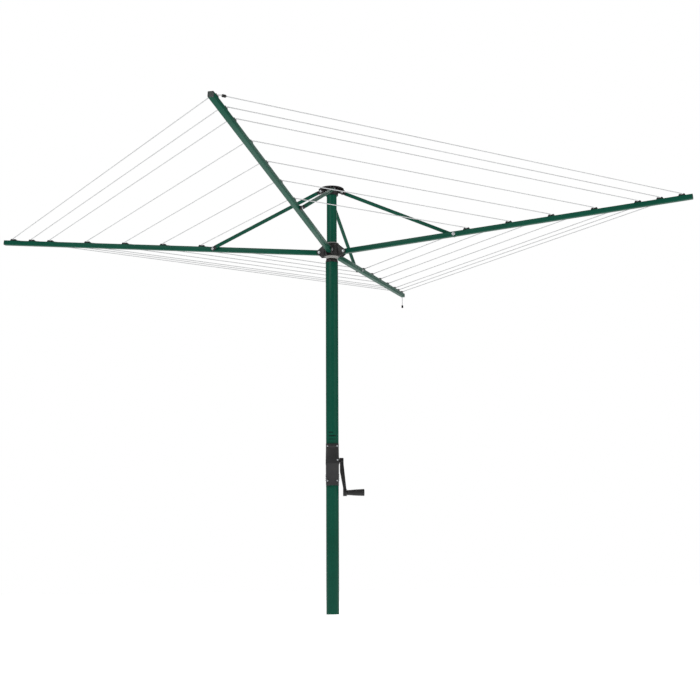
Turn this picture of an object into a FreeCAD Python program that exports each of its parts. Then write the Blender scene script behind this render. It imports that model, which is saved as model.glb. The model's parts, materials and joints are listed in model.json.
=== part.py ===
"""Rotary clothesline with a winding mast and four folding arms.

Origin: centre of the mast's lower end. +Z up, +X towards the crank, -Y towards the winder's front.
Each arm and strut is modelled once along +X (u out along the arm, v sideways, w up) and then turned
about the mast. Seven closed line loops are strung round the four arms.
"""
import FreeCAD, Part
import math
import os

# ---- driving dimensions, mm and degrees ----------------------------------------------------------
MAST_LENGTH = 1422.0        # lower tube, planted end to top edge
MAST_R = 25.4
MAST_WALL = 1.6
INNER_R = 20.65             # rising tube
INNER_WALL = 1.6
RUNNING = 0.07              # radial clearance of bushes and pivots
FACE_GAP = 0.4              # sideways clearance between moving faces

HEAD_LIFT = 500.0           # travel of the winding mast
SCREW_R = 8.0
SCREW_JOURNAL_R = 6.0
SCREW_LEAD = 20.0

WINDER_BOTTOM = 504.5
WINDER_HEIGHT = 166.5
WINDER_WIDTH = 54.0
WINDER_FRONT = 38.0         # front face to mast axis
WINDER_BACK = 29.5
WINDER_SEAM = 14.0          # where the two casing halves meet
WINDER_WALL = 2.5
WINDER_CORNER = 6.0
WINDER_SCREW_X = 19.5
WINDER_SCREW_INSET = 10.0   # top screws below the casing's top
WINDER_SCREW_LOW = 18.0     # bottom screws above the casing's bottom
BUSH_SCREW_X = 20.7
SCREW_SHANK_R = 2.0
SCREW_HEAD_R = 3.6
SCREW_HEAD = 2.0
OIL_HOLE_X = 11.5
OIL_HOLE_RISE = 21.0        # above the crank shaft
OIL_HOLE_R = 3.5

SHAFT_Z = 605.0             # crank shaft height
SHAFT_R = 5.0
SHAFT_NOSE_R = 3.5
CRANK_RADIUS = 128.0
CRANK_THICK = 15.0
CRANK_LEAN = 12.5
CRANK_TOP_R = 11.5
CRANK_FOOT_R = 14.0
CRANK_WEB = 19.0
GRIP_LENGTH = 70.0
GRIP_NECK_R = 10.5
GRIP_END_R = 14.0
SPINDLE_R = 5.0
CRANK_BUSH_R = 9.0
CRANK_FLANGE_R = 12.0
CRANK_FLANGE = 2.5

CROWN_TEETH = 24
PINION_TEETH = 12
GEAR_MODULE = 1.75
GEAR_FACE = 0.40            # face width as a share of the cone distance

TOP_BUSH_RISE = 15.0
TOP_BUSH_DEPTH = 40.0
HEAD_CLEARANCE = 0.5
SLEEVE_SHOW = 9.5           # sleeve seen between the top bush and the hub
SLEEVE_R = 26.1
SLEEVE_SKIRT_R = 24.0

HUB_BORE_R = 26.5
HUB_R = 33.0
HUB_TOP_R = 29.5
HUB_DROP = 20.0             # below the arm pivots
HUB_RISE = 34.0             # above the arm pivots
LUG_THICK = 3.6
LUG_END_R = 10.0
PIN_R = 4.0
PIN_HEAD_R = 6.5

LATCH_AZIMUTH = 120.5
LATCH_RISE = 12.0
LATCH_BOSS_R = 9.0
LATCH_PULL = 5.0
LATCH_BOSS_END = 45.0
LATCH_CAP = 3.0
LATCH_POCKET_R = 6.6
LATCH_POCKET_START = 31.0
LATCH_COLLAR = 2.0
LATCH_KNOB_R = 10.5
LATCH_KNOB = 12.0
PIN_TIP = 0.1               # pin tip behind the hub's bore
SPRING_WIRE_R = 0.5
SPRING_PITCH = 1.6

ARM_COUNT = 4
ARM_AZIMUTH = -14.5         # first arm, from +X
ARM_SLOPE = 5.4
ARM_FOLDED = 84.0           # slope of a folded arm
ARM_LENGTH = 1424.0         # pivot to tip
ARM_SIZE = 20.0
ARM_WALL = 1.2
ARM_CORNER = 2.5
ARM_TAIL = 12.0             # behind the pivot
PIVOT_RADIUS = 51.0
TIP_CAP = 3.0

CLIP_UNIT = 86.5            # line spacing is one unit, then two
CLIP_FIRST = 42.0           # tip to the outermost line
CLIP_STEPS = (0, 1, 2, 4, 6, 8, 10)
CLIP_LENGTH = 28.0
CLIP_WIDTH = 14.0
CLIP_FLOOR = 4.2
CLIP_HEIGHT = 7.5
CLIP_MOUTH = 1.0            # the jaws' rounded mouth above the line's slot
CLIP_TOE = 1.5              # thickness of a clip's thin ends
CLIP_CREST = (7.0, 9.0, 11.0)   # crest start, crest end and shoulder, from the clip's middle
CLIP_PEG_R = 2.5
CLIP_PEG_DEPTH = 2.0        # beyond the tube's wall
LINE_R = 1.7
LINE_PLAY = 0.45            # between the line and a clip's jaws
LINE_BEND_R = 9.0
LINE_MID_GAP = 0.15         # each half-span stops this far before the middle

STRUT_JOINT = 462.0         # arm pivot to strut bolt
STRUT_R = 7.5
STRUT_WALL = 1.2
STRUT_GAP = 1.3             # arm side to strut
STRUT_TONGUE = 8.0
STRUT_TONGUE_R = 8.5
STRUT_TUBE_START = 17.0     # tube end to pivot
BOLT_R = 3.5
BOLT_HEAD_R = 6.0
BOLT_HEAD = 3.0

CAP_R = 51.0
CAP_THICK = 4.0
CAP_PIVOT_RADIUS = 41.0
CAP_PIVOT_RISE = 258.0      # above the arm pivots
CAP_UNDERSIDE = 10.0        # disc above its pivots
CAP_BOSS_R = 27.0
CAP_BOSS_DROP = 16.0        # boss below its pivots

TAIL_ARM = 1                # arm with the hanging line end
TOGGLE_ARM = 3              # arm with the toggle on the outermost line
TOGGLE_R = 5.0
TOGGLE_LENGTH = 14.0
TAIL_DROP = 42.0

# ---- derived places ------------------------------------------------------------------------------
MAST_BORE = MAST_R - MAST_WALL
INNER_BORE = INNER_R - INNER_WALL
WINDER_TOP = WINDER_BOTTOM + WINDER_HEIGHT
PIVOT_Z = MAST_LENGTH + TOP_BUSH_RISE + HEAD_CLEARANCE + SLEEVE_SHOW + HUB_DROP
SLEEVE_BOTTOM = MAST_LENGTH + TOP_BUSH_RISE + HEAD_CLEARANCE
CAP_PIVOT_Z = PIVOT_Z + CAP_PIVOT_RISE
CAP_Z = CAP_PIVOT_Z + CAP_UNDERSIDE
LUG_INNER = ARM_SIZE / 2 + FACE_GAP
LUG_OUTER = LUG_INNER + LUG_THICK
STRUT_NEAR = ARM_SIZE / 2 + STRUT_GAP
STRUT_FAR = STRUT_NEAR + STRUT_TONGUE
STRUT_OFFSET = STRUT_NEAR + STRUT_R
LINE_RISE = ARM_SIZE / 2 + CLIP_FLOOR + LINE_R
SLOPE = math.radians(ARM_SLOPE)
BOLT_RADIUS = PIVOT_RADIUS + STRUT_JOINT * math.cos(SLOPE)
BOLT_RISE = STRUT_JOINT * math.sin(SLOPE)
STRUT_RUN = BOLT_RADIUS - CAP_PIVOT_RADIUS
STRUT_FALL = CAP_PIVOT_RISE - BOLT_RISE
STRUT_LENGTH = math.hypot(STRUT_RUN, STRUT_FALL)
STRUT_SLOPE = math.degrees(math.atan2(STRUT_FALL, STRUT_RUN))
FOLDED = math.radians(ARM_FOLDED)
STRUT_FOLDED = math.degrees(math.acos(
    (PIVOT_RADIUS + STRUT_JOINT * math.cos(FOLDED) - CAP_PIVOT_RADIUS) / STRUT_LENGTH))
FOLD_TRAVEL = (STRUT_JOINT * math.sin(FOLDED) - CAP_PIVOT_RISE
               + STRUT_LENGTH * math.sin(math.radians(STRUT_FOLDED)))
NUT_BOTTOM = WINDER_TOP + 4.0
NUT_HEIGHT = 28.0
WASHER = 2.0
FOOT_Z = NUT_BOTTOM + NUT_HEIGHT + WASHER + 0.05
FOOT_FLANGE = 6.0
INNER_BOTTOM = FOOT_Z + FOOT_FLANGE
SCREW_TOP = NUT_BOTTOM + NUT_HEIGHT + HEAD_LIFT + 20.0
STRIP_DEPTH = 1.7
CRANK_TURNS = HEAD_LIFT / SCREW_LEAD * CROWN_TEETH / PINION_TEETH

X, Y, Z = FreeCAD.Vector(1, 0, 0), FreeCAD.Vector(0, 1, 0), FreeCAD.Vector(0, 0, 1)


# ---- small helpers -------------------------------------------------------------------------------
def vec(x, y, z):
    return FreeCAD.Vector(x, y, z)


def rod(radius, start, end):
    """Round bar between two points."""
    span = end.sub(start)
    return Part.makeCylinder(radius, span.Length, start, span)


def ring(outer, inner, start, end):
    """Round tube between two points."""
    reach = end.sub(start).normalize() * 1.0
    return rod(outer, start, end).cut(rod(inner, start.sub(reach), end.add(reach)))


def box(low, high):
    size = high.sub(low)
    return Part.makeBox(size.x, size.y, size.z, low)


def lathe(points, axis=Z, origin=None):
    """Turn a closed outline of (radius, height) points about an axis through the origin."""
    origin = origin or vec(0, 0, 0)
    across = X if axis != X else Z
    outline = [origin + across * r + axis * h for r, h in points]
    face = Part.Face(Part.makePolygon(outline + outline[:1]))
    return face.revolve(origin, axis, 360)


def fuse(shapes):
    whole = shapes[0].multiFuse(shapes[1:]) if len(shapes) > 1 else shapes[0]
    return whole.removeSplitter()


def plate(points, y_low, y_high, rounding=0):
    """Extrude a closed (x, z) outline along Y; rounding fillets its upright corners."""
    outline = [vec(x, y_low, z) for x, z in points]
    solid = Part.Face(Part.makePolygon(outline + outline[:1])).extrude(vec(0, y_high - y_low, 0))
    if rounding:
        edges = [e for e in solid.Edges if abs(e.tangentAt(e.FirstParameter).y) > 0.99]
        solid = solid.makeFillet(rounding, edges)
    return solid


def rounded_bar(size, corner, length):
    """Square bar along +X with rounded edges, centred on the X axis."""
    half = size / 2
    bar = box(vec(0, -half, -half), vec(length, half, half))
    return bar.makeFillet(corner, [e for e in bar.Edges if abs(e.tangentAt(e.FirstParameter).x) > 0.99])


def round_mast(shape, index):
    """Turn a piece modelled along +X to its own arm's direction."""
    turned = shape.copy()
    turned.rotate(vec(0, 0, 0), Z, ARM_AZIMUTH + index * 360 / ARM_COUNT)
    return turned


def on_arm(shape, index):
    """Move a piece from arm coordinates (u, v, w) onto arm number index."""
    moved = shape.copy()
    moved.rotate(vec(0, 0, 0), Y, -ARM_SLOPE)
    moved.translate(vec(PIVOT_RADIUS, 0, PIVOT_Z))
    return round_mast(moved, index)


def on_strut(shape, index):
    """Move a piece from strut coordinates (along +X from the top pivot) to its place."""
    moved = shape.copy()
    moved.rotate(vec(0, 0, 0), Y, STRUT_SLOPE)
    moved.translate(vec(CAP_PIVOT_RADIUS, 0, CAP_PIVOT_Z))
    return round_mast(moved, index)


# ---- mast and winder -----------------------------------------------------------------------------
def winder_screw_places():
    """(x, z) of the casing's screws; the last one holds the crank bush."""
    high = WINDER_TOP - WINDER_SCREW_INSET
    low = WINDER_BOTTOM + WINDER_SCREW_LOW
    corners = [(side * WINDER_SCREW_X, z) for z in (high, low) for side in (-1, 1)]
    return corners + [(BUSH_SCREW_X, SHAFT_Z)]


def screw_tip(x, z):
    """Y of a screw's tip: in the mast's wall beside the crank bush, and 3 mm past it elsewhere."""
    if z == SHAFT_Z:
        return 1.5 - math.sqrt(MAST_R ** 2 - x ** 2)
    return 3.0 - math.sqrt(MAST_BORE ** 2 - x ** 2)


def outer_mast():
    tube = ring(MAST_R, MAST_BORE, vec(0, 0, 0), vec(0, 0, MAST_LENGTH))
    tube = tube.cut(rod(CRANK_BUSH_R, vec(0, 0, SHAFT_Z), vec(MAST_R + 5, 0, SHAFT_Z)))
    for x, z in winder_screw_places():
        tube = tube.cut(rod(SCREW_SHANK_R, vec(x, -MAST_R, z), vec(x, screw_tip(x, z), z)))
    return tube


def casing_blank(y_low, y_high, corner):
    """Casing block with rounded vertical edges on its outer face."""
    half = WINDER_WIDTH / 2
    block = box(vec(-half, y_low, WINDER_BOTTOM), vec(half, y_high, WINDER_TOP))
    outer_y = y_low if corner < 0 else y_high
    edges = [e for e in block.Edges
             if abs(e.tangentAt(e.FirstParameter).z) > 0.99 and abs(e.CenterOfMass.y - outer_y) < 0.01]
    return block.makeFillet(WINDER_CORNER, edges)


def winder_cover():
    """Front half of the casing: a box shell that straddles the mast."""
    shell = casing_blank(-WINDER_FRONT, WINDER_SEAM, -1)
    rim = [e for e in shell.Edges if abs(e.CenterOfMass.y + WINDER_FRONT) < WINDER_CORNER
           and (abs(e.CenterOfMass.z - WINDER_TOP) < 0.01 or abs(e.CenterOfMass.z - WINDER_BOTTOM) < 0.01)]
    shell = shell.makeChamfer(2.0, rim)
    shell = shell.cut(rod(MAST_R, vec(0, 0, WINDER_BOTTOM - 1), vec(0, 0, WINDER_TOP + 1)))
    shell = shell.cut(box(vec(-MAST_R, 0, WINDER_BOTTOM - 1), vec(MAST_R, WINDER_SEAM + 1, WINDER_TOP + 1)))
    pocket_x = WINDER_SCREW_X - SCREW_HEAD_R - 1.5
    shell = shell.cut(box(vec(-pocket_x, -WINDER_FRONT + WINDER_WALL, WINDER_BOTTOM + WINDER_WALL),
                          vec(pocket_x, 0, WINDER_TOP - WINDER_WALL)))
    shell = shell.cut(rod(CRANK_BUSH_R, vec(1, 0, SHAFT_Z), vec(WINDER_WIDTH, 0, SHAFT_Z)))
    shell = shell.cut(rod(OIL_HOLE_R, vec(OIL_HOLE_X, -WINDER_FRONT - 1, SHAFT_Z + OIL_HOLE_RISE),
                          vec(OIL_HOLE_X, 0, SHAFT_Z + OIL_HOLE_RISE)))
    for x, z in winder_screw_places():
        shell = shell.cut(rod(SCREW_SHANK_R, vec(x, -WINDER_FRONT - 1, z), vec(x, 0, z)))
    return shell


def winder_back():
    """Rear half of the casing, closed round the back of the mast."""
    shell = casing_blank(WINDER_SEAM, WINDER_BACK, 1)
    shell = shell.cut(rod(MAST_R, vec(0, 0, WINDER_BOTTOM - 1), vec(0, 0, WINDER_TOP + 1)))
    return shell


def winder_screws():
    screws = []
    for x, z in winder_screw_places():
        shank = rod(SCREW_SHANK_R, vec(x, -WINDER_FRONT, z), vec(x, screw_tip(x, z), z))
        head = lathe([(0, -SCREW_HEAD), (SCREW_HEAD_R * 0.6, -SCREW_HEAD), (SCREW_HEAD_R, -0.6),
                      (SCREW_HEAD_R, 0), (0, 0)], Y, vec(x, -WINDER_FRONT, z))
        screws.append(fuse([shank, head]))
    return Part.Compound(screws)


def crank_bush():
    inner_end = gear_cone()["x_back"] + 0.5
    half = WINDER_WIDTH / 2
    bush = fuse([rod(CRANK_BUSH_R, vec(inner_end, 0, SHAFT_Z), vec(half, 0, SHAFT_Z)),
                 rod(CRANK_FLANGE_R, vec(half, 0, SHAFT_Z), vec(half + CRANK_FLANGE, 0, SHAFT_Z))])
    return bush.cut(rod(SHAFT_R + RUNNING, vec(0, 0, SHAFT_Z), vec(half * 2, 0, SHAFT_Z)))


def crown_back_z():
    """Underside of the crown wheel."""
    return SHAFT_Z - gear_cone()["crown_root"][1] - 6.5


def screw_support():
    """Block that carries the lift screw inside the mast."""
    top = crown_back_z() - WASHER
    bottom = WINDER_BOTTOM + 8.0
    block = ring(MAST_BORE, SCREW_JOURNAL_R + RUNNING, vec(0, 0, bottom), vec(0, 0, top))
    for x, z in winder_screw_places():
        block = block.cut(rod(SCREW_SHANK_R, vec(x, -MAST_R, z), vec(x, screw_tip(x, z), z)))
    return block


def support_washer():
    top = crown_back_z() - 0.05
    return ring(MAST_BORE - 4, SCREW_JOURNAL_R + RUNNING, vec(0, 0, crown_back_z() - WASHER), vec(0, 0, top))


def guide_strip():
    """Strip inside the mast that keeps the lift nut from turning."""
    bar = box(vec(-4, MAST_BORE - STRIP_DEPTH, WINDER_TOP), vec(4, MAST_R, MAST_LENGTH - TOP_BUSH_DEPTH - 4))
    return bar.common(rod(MAST_BORE, vec(0, 0, 0), vec(0, 0, MAST_LENGTH)))


def top_bush():
    """Nylon bush in the mast's top edge, with a tapered shoulder."""
    inner = INNER_R + RUNNING
    low, edge, top = MAST_LENGTH - TOP_BUSH_DEPTH, MAST_LENGTH, MAST_LENGTH + TOP_BUSH_RISE
    return lathe([(inner, low), (MAST_BORE, low), (MAST_BORE, edge), (MAST_R + 0.5, edge),
                  (MAST_R + 0.3, edge + 8.0), (MAST_R - 3.0, top), (inner, top)])


# ---- crank and bevel gears -----------------------------------------------------------------------
def gear_cone():
    """Sizes of the bevel pair; the cones meet where shaft and screw axes cross."""
    crown_r = CROWN_TEETH * GEAR_MODULE / 2
    pinion_r = PINION_TEETH * GEAR_MODULE / 2
    reach = math.hypot(crown_r, pinion_r)
    sine, cosine = pinion_r / reach, crown_r / reach
    addendum, dedendum = 0.8 * GEAR_MODULE, 1.1 * GEAR_MODULE

    def along(height):
        return crown_r + sine * height, pinion_r - cosine * height
    return {"crown_tip": along(addendum), "crown_root": along(-dedendum),
            "pinion_tip": along(-addendum), "pinion_root": along(dedendum),
            "x_back": along(dedendum)[0]}


def bevel_tooth(root, tip, root_angle, tip_angle):
    """One straight bevel tooth about +Z, pointing along +X; sections shrink towards the apex."""
    quads = []
    for scale in (1.0, 1.0 - GEAR_FACE):
        corners = []
        for (radius, height), angle in ((root, -root_angle), (root, root_angle),
                                        (tip, tip_angle), (tip, -tip_angle)):
            a = math.radians(angle)
            corners.append(vec(scale * radius * math.cos(a), scale * radius * math.sin(a), scale * height))
        quads.append(Part.makePolygon(corners + corners[:1]))
    return Part.makeLoft(quads, True, True)


def crown_gear():
    cone = gear_cone()
    radius, depth = cone["crown_root"]
    back = crown_back_z() - SHAFT_Z
    inner = 1.0 - GEAR_FACE
    sink = 0.4
    body = lathe([(SCREW_R, back), (radius + 0.6, back), (radius + 0.6, -depth), (radius, -depth + 0.01),
                  (radius * inner, -depth * inner), (SCREW_R, -depth * inner)])
    root, tip = (radius, -depth - sink), (cone["crown_tip"][0], -cone["crown_tip"][1])
    teeth = []
    for number in range(CROWN_TEETH):
        tooth = bevel_tooth(root, tip, 3.6, 1.3)
        tooth.rotate(vec(0, 0, 0), Z, (number + 0.5) * 360 / CROWN_TEETH)
        teeth.append(tooth)
    wheel = fuse([body] + teeth)
    wheel.translate(vec(0, 0, SHAFT_Z))
    return wheel


def pinion():
    cone = gear_cone()
    x_root, r_root = cone["pinion_root"]
    x_tip, r_tip = cone["pinion_tip"]
    inner = 1.0 - GEAR_FACE
    body = lathe([(SHAFT_NOSE_R, x_root * inner), (r_root * inner, x_root * inner), (r_root, x_root),
                  (SHAFT_NOSE_R, x_root)])
    teeth = []
    for number in range(PINION_TEETH):
        tooth = bevel_tooth((r_root - 0.3, x_root), (r_tip, x_tip), 7.6, 2.6)
        tooth.rotate(vec(0, 0, 0), Z, number * 360 / PINION_TEETH)
        teeth.append(tooth)
    gear = fuse([body] + teeth)
    gear.rotate(vec(0, 0, 0), Y, 90)
    gear.translate(vec(0, 0, SHAFT_Z))
    return gear


def boss_start():
    """Inner face of the crank arm's boss."""
    return WINDER_WIDTH / 2 + CRANK_FLANGE + FACE_GAP


def crank_shaft():
    shoulder = gear_cone()["pinion_root"][0]
    nose = gear_cone()["pinion_root"][0] * (1 - GEAR_FACE) - 1.5
    return fuse([rod(SHAFT_NOSE_R, vec(nose, 0, SHAFT_Z), vec(shoulder, 0, SHAFT_Z)),
                 rod(SHAFT_R, vec(shoulder, 0, SHAFT_Z), vec(boss_start() + CRANK_THICK - 3, 0, SHAFT_Z))])


def crank_arm():
    """Moulded arm that leans outwards from the shaft to the grip."""
    x0 = boss_start()
    x1 = x0 + CRANK_THICK
    foot0, foot1 = x0 + CRANK_LEAN, x1 + CRANK_LEAN
    foot_z = SHAFT_Z - CRANK_RADIUS
    half = CRANK_WEB / 2
    web = plate([(x0, SHAFT_Z + 4), (x1, SHAFT_Z + 4), (x1, SHAFT_Z - 14), (foot1, foot_z + 22),
                 (foot1, foot_z - 4), (foot0, foot_z - 4), (foot0, foot_z + 22), (x0, SHAFT_Z - 26)],
                -half, half)
    top = rod(CRANK_TOP_R, vec(x0, 0, SHAFT_Z), vec(x1, 0, SHAFT_Z))
    foot = rod(CRANK_FOOT_R, vec(foot0, 0, foot_z), vec(foot1, 0, foot_z))
    arm = fuse([web, top, foot])
    arm = arm.cut(rod(SHAFT_R, vec(x0 - 1, 0, SHAFT_Z), vec(x1 - 3, 0, SHAFT_Z)))
    return arm.cut(rod(SPINDLE_R, vec(foot0 + 3, 0, foot_z), vec(foot1 + 1, 0, foot_z)))


def grip_start():
    return boss_start() + CRANK_THICK + CRANK_LEAN + FACE_GAP


def grip_spindle():
    z = SHAFT_Z - CRANK_RADIUS
    root = grip_start() - FACE_GAP - CRANK_THICK + 3
    stop = grip_start() + GRIP_LENGTH - 6
    return fuse([rod(SPINDLE_R, vec(root, 0, z), vec(stop, 0, z)),
                 rod(SPINDLE_R + 2, vec(stop, 0, z), vec(stop + 2, 0, z))])


def crank_grip():
    start, end = grip_start(), grip_start() + GRIP_LENGTH
    bore = SPINDLE_R + RUNNING
    room = end - 6 - FACE_GAP
    return lathe([(bore, start), (GRIP_NECK_R - 1, start), (GRIP_NECK_R, start + 1),
                  (GRIP_NECK_R, start + 14), (GRIP_END_R - 1, end - 22), (GRIP_END_R, end - 8),
                  (GRIP_END_R, end - 2), (GRIP_END_R - 2, end),
                  (0, end), (0, end - 3), (SPINDLE_R + 2.5, end - 3), (SPINDLE_R + 2.5, room), (bore, room)],
                 X, vec(0, 0, SHAFT_Z - CRANK_RADIUS))


# ---- lift ----------------------------------------------------------------------------------------
def lift_screw():
    back = crown_back_z()
    return fuse([rod(SCREW_JOURNAL_R, vec(0, 0, WINDER_BOTTOM + 6), vec(0, 0, back)),
                 rod(SCREW_R, vec(0, 0, back), vec(0, 0, SCREW_TOP))])


def lift_nut():
    top = NUT_BOTTOM + NUT_HEIGHT
    nut = ring(MAST_BORE - 0.3, SCREW_R + RUNNING, vec(0, 0, NUT_BOTTOM), vec(0, 0, top))
    return nut.cut(box(vec(-4.6, MAST_BORE - STRIP_DEPTH - 0.5, NUT_BOTTOM - 1), vec(4.6, MAST_R, top + 1)))


def strip_clear_radius():
    """Largest radius that turns freely past the guide strip."""
    return MAST_BORE - STRIP_DEPTH - 0.4


def thrust_washer():
    low = NUT_BOTTOM + NUT_HEIGHT
    return ring(strip_clear_radius(), SCREW_R + 1, vec(0, 0, low), vec(0, 0, low + WASHER))


# ---- head ----------------------------------------------------------------------------------------
def inner_mast():
    return ring(INNER_R, INNER_BORE, vec(0, 0, INNER_BOTTOM), vec(0, 0, CAP_Z))


def mast_foot():
    """Plug in the rising tube's lower end; it turns on the thrust washer."""
    flange = rod(strip_clear_radius(), vec(0, 0, FOOT_Z), vec(0, 0, INNER_BOTTOM))
    plug = rod(INNER_BORE, vec(0, 0, INNER_BOTTOM), vec(0, 0, INNER_BOTTOM + 26))
    return fuse([flange, plug]).cut(rod(SCREW_R + 1, vec(0, 0, FOOT_Z - 1), vec(0, 0, INNER_BOTTOM + 27)))


def hub_sleeve():
    """Pale nylon sleeve on the rising tube; the hub slides over it and stops under its flange."""
    hub_bottom, hub_top = PIVOT_Z - HUB_DROP, PIVOT_Z + HUB_RISE
    sleeve = lathe([(INNER_R, SLEEVE_BOTTOM), (SLEEVE_SKIRT_R, SLEEVE_BOTTOM),
                    (SLEEVE_SKIRT_R, hub_bottom - 2),
                    (SLEEVE_R, hub_bottom), (SLEEVE_R, hub_top + 0.3), (HUB_TOP_R - 0.5, hub_top + 0.3),
                    (HUB_TOP_R - 0.5, hub_top + 2.5), (INNER_R, hub_top + 4)])
    pocket = rod(PIN_R + 0.3, vec(SLEEVE_R - 3.5, 0, PIVOT_Z + LATCH_RISE),
                 vec(SLEEVE_R + 5, 0, PIVOT_Z + LATCH_RISE))
    pocket.rotate(vec(0, 0, 0), Z, LATCH_AZIMUTH)
    return sleeve.cut(pocket)


def cap_lug(v_low, v_high):
    """One ear of a strut clevis, hanging from the cap's disc."""
    r = STRUT_TONGUE_R
    x, z = CAP_PIVOT_RADIUS, CAP_PIVOT_Z
    ear = Part.makeCylinder(r, v_high - v_low, vec(x, v_low, z), Y)
    return fuse([ear, box(vec(x - r, v_low, z), vec(x + r, v_high, CAP_Z + 1))])


def cap_lug_sides():
    """(v_low, v_high) of the two ears either side of a strut tongue."""
    return ((STRUT_NEAR - FACE_GAP - LUG_THICK, STRUT_NEAR - FACE_GAP),
            (STRUT_FAR + FACE_GAP, STRUT_FAR + FACE_GAP + LUG_THICK))


def top_cap():
    disc = lathe([(0, CAP_Z), (CAP_R, CAP_Z), (CAP_R, CAP_Z + CAP_THICK - 2), (CAP_R - 3, CAP_Z + CAP_THICK),
                  (CAP_R * 0.5, CAP_Z + CAP_THICK + 2.5), (0, CAP_Z + CAP_THICK + 3)])
    boss = rod(CAP_BOSS_R, vec(0, 0, CAP_PIVOT_Z - CAP_BOSS_DROP), vec(0, 0, CAP_Z))
    boss = boss.cut(rod(INNER_R, vec(0, 0, CAP_PIVOT_Z - CAP_BOSS_DROP - 1), vec(0, 0, CAP_Z)))
    pieces = [disc, boss]
    for index in range(ARM_COUNT):
        for low, high in cap_lug_sides():
            lug = cap_lug(low, high)
            web = box(vec(0, low, CAP_PIVOT_Z), vec(CAP_PIVOT_RADIUS, high, CAP_Z + 1))
            pieces.append(round_mast(fuse([lug, web]), index))
    cap = fuse(pieces).cut(rod(INNER_R, vec(0, 0, CAP_PIVOT_Z - 40), vec(0, 0, CAP_Z)))
    for index in range(ARM_COUNT):
        hole = rod(BOLT_R, vec(CAP_PIVOT_RADIUS, -1, CAP_PIVOT_Z), vec(CAP_PIVOT_RADIUS, CAP_R, CAP_PIVOT_Z))
        cap = cap.cut(round_mast(hole, index))
    return cap


def headed_pin(radius, head_r, head, x, z, v_low, v_high):
    """Rivet along Y with a domed head at each end."""
    dome = [(0, 0), (head_r, 0), (head_r, head * 0.4), (head_r * 0.55, head), (0, head)]
    return fuse([rod(radius, vec(x, v_low, z), vec(x, v_high, z)),
                 lathe(dome, Y, vec(x, v_high, z)), lathe(dome, Y * -1, vec(x, v_low, z))])


def strut_pins():
    (low, _), (_, high) = cap_lug_sides()
    pins = []
    for index in range(ARM_COUNT):
        pin = headed_pin(BOLT_R, BOLT_HEAD_R, BOLT_HEAD, CAP_PIVOT_RADIUS, CAP_PIVOT_Z, low, high)
        pins.append(round_mast(pin, index))
    return Part.Compound(pins)


# ---- hub and latch -------------------------------------------------------------------------------
def hub_lug(v_low, v_high):
    """One ear of an arm clevis, in the (x, z) plane of its arm."""
    x, z = PIVOT_RADIUS, PIVOT_Z
    tip = Part.makeCylinder(LUG_END_R, v_high - v_low, vec(x, v_low, z), Y)
    side = LUG_END_R * 0.72
    web = plate([(HUB_BORE_R + 1, z + HUB_RISE - 4), (HUB_TOP_R + 3, z + HUB_RISE - 5), (x + side, z + side),
                 (x + side, z - side), (x - 5, z - HUB_DROP + 1), (HUB_BORE_R + 1, z - HUB_DROP + 1)],
                v_low, v_high)
    return fuse([tip, web])


def latch_place(shape):
    """Turn a latch piece modelled along +X to the latch's direction and height."""
    placed = shape.copy()
    placed.translate(vec(0, 0, PIVOT_Z + LATCH_RISE))
    placed.rotate(vec(0, 0, 0), Z, LATCH_AZIMUTH)
    return placed


def hub():
    low, high = PIVOT_Z - HUB_DROP, PIVOT_Z + HUB_RISE
    collar = lathe([(HUB_BORE_R - 1, low), (HUB_R - 1, low), (HUB_R, low + 2), (HUB_R, PIVOT_Z + 10),
                    (HUB_TOP_R + 1, high - 3), (HUB_TOP_R, high), (HUB_BORE_R - 1, high)])
    pieces = [collar, latch_place(rod(LATCH_BOSS_R, vec(HUB_BORE_R, 0, 0), vec(LATCH_BOSS_END, 0, 0)))]
    for index in range(ARM_COUNT):
        for side in ((-LUG_OUTER, -LUG_INNER), (LUG_INNER, LUG_OUTER)):
            pieces.append(round_mast(hub_lug(*side), index))
    body = fuse(pieces)
    body = body.cut(rod(HUB_BORE_R, vec(0, 0, low - 1), vec(0, 0, high + 1)))
    for index in range(ARM_COUNT):
        hole = rod(PIN_R, vec(PIVOT_RADIUS, -LUG_OUTER - 1, PIVOT_Z),
                   vec(PIVOT_RADIUS, LUG_OUTER + 1, PIVOT_Z))
        body = body.cut(round_mast(hole, index))
    body = body.cut(latch_place(rod(PIN_R + RUNNING, vec(0, 0, 0), vec(LATCH_BOSS_END + 1, 0, 0))
                                .common(box(vec(1, -10, -10), vec(LATCH_BOSS_END + 1, 10, 10)))))
    return body.cut(latch_place(rod(LATCH_POCKET_R, vec(LATCH_POCKET_START, 0, 0),
                                    vec(LATCH_BOSS_END + 1, 0, 0))))


def arm_pins():
    pins = []
    for index in range(ARM_COUNT):
        pin = headed_pin(PIN_R, PIN_HEAD_R, BOLT_HEAD, PIVOT_RADIUS, PIVOT_Z, -LUG_OUTER, LUG_OUTER)
        pins.append(round_mast(pin, index))
    return Part.Compound(pins)


def latch_cap():
    """Plug screwed into the latch boss; it backs the spring."""
    end = LATCH_BOSS_END
    plug = ring(LATCH_POCKET_R, PIN_R + RUNNING, vec(end - 5, 0, 0), vec(end, 0, 0))
    rim = ring(LATCH_BOSS_R, PIN_R + RUNNING, vec(end, 0, 0), vec(end + LATCH_CAP, 0, 0))
    return latch_place(fuse([plug, rim]))


def latch_pin():
    tip = HUB_BORE_R + PIN_TIP
    collar = LATCH_POCKET_START + 0.3
    knob = LATCH_BOSS_END + LATCH_CAP + 0.5
    return latch_place(fuse([rod(PIN_R, vec(tip, 0, 0), vec(knob + LATCH_KNOB - 3, 0, 0)),
                             rod(LATCH_POCKET_R - 0.3, vec(collar, 0, 0), vec(collar + LATCH_COLLAR, 0, 0))]))


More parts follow.
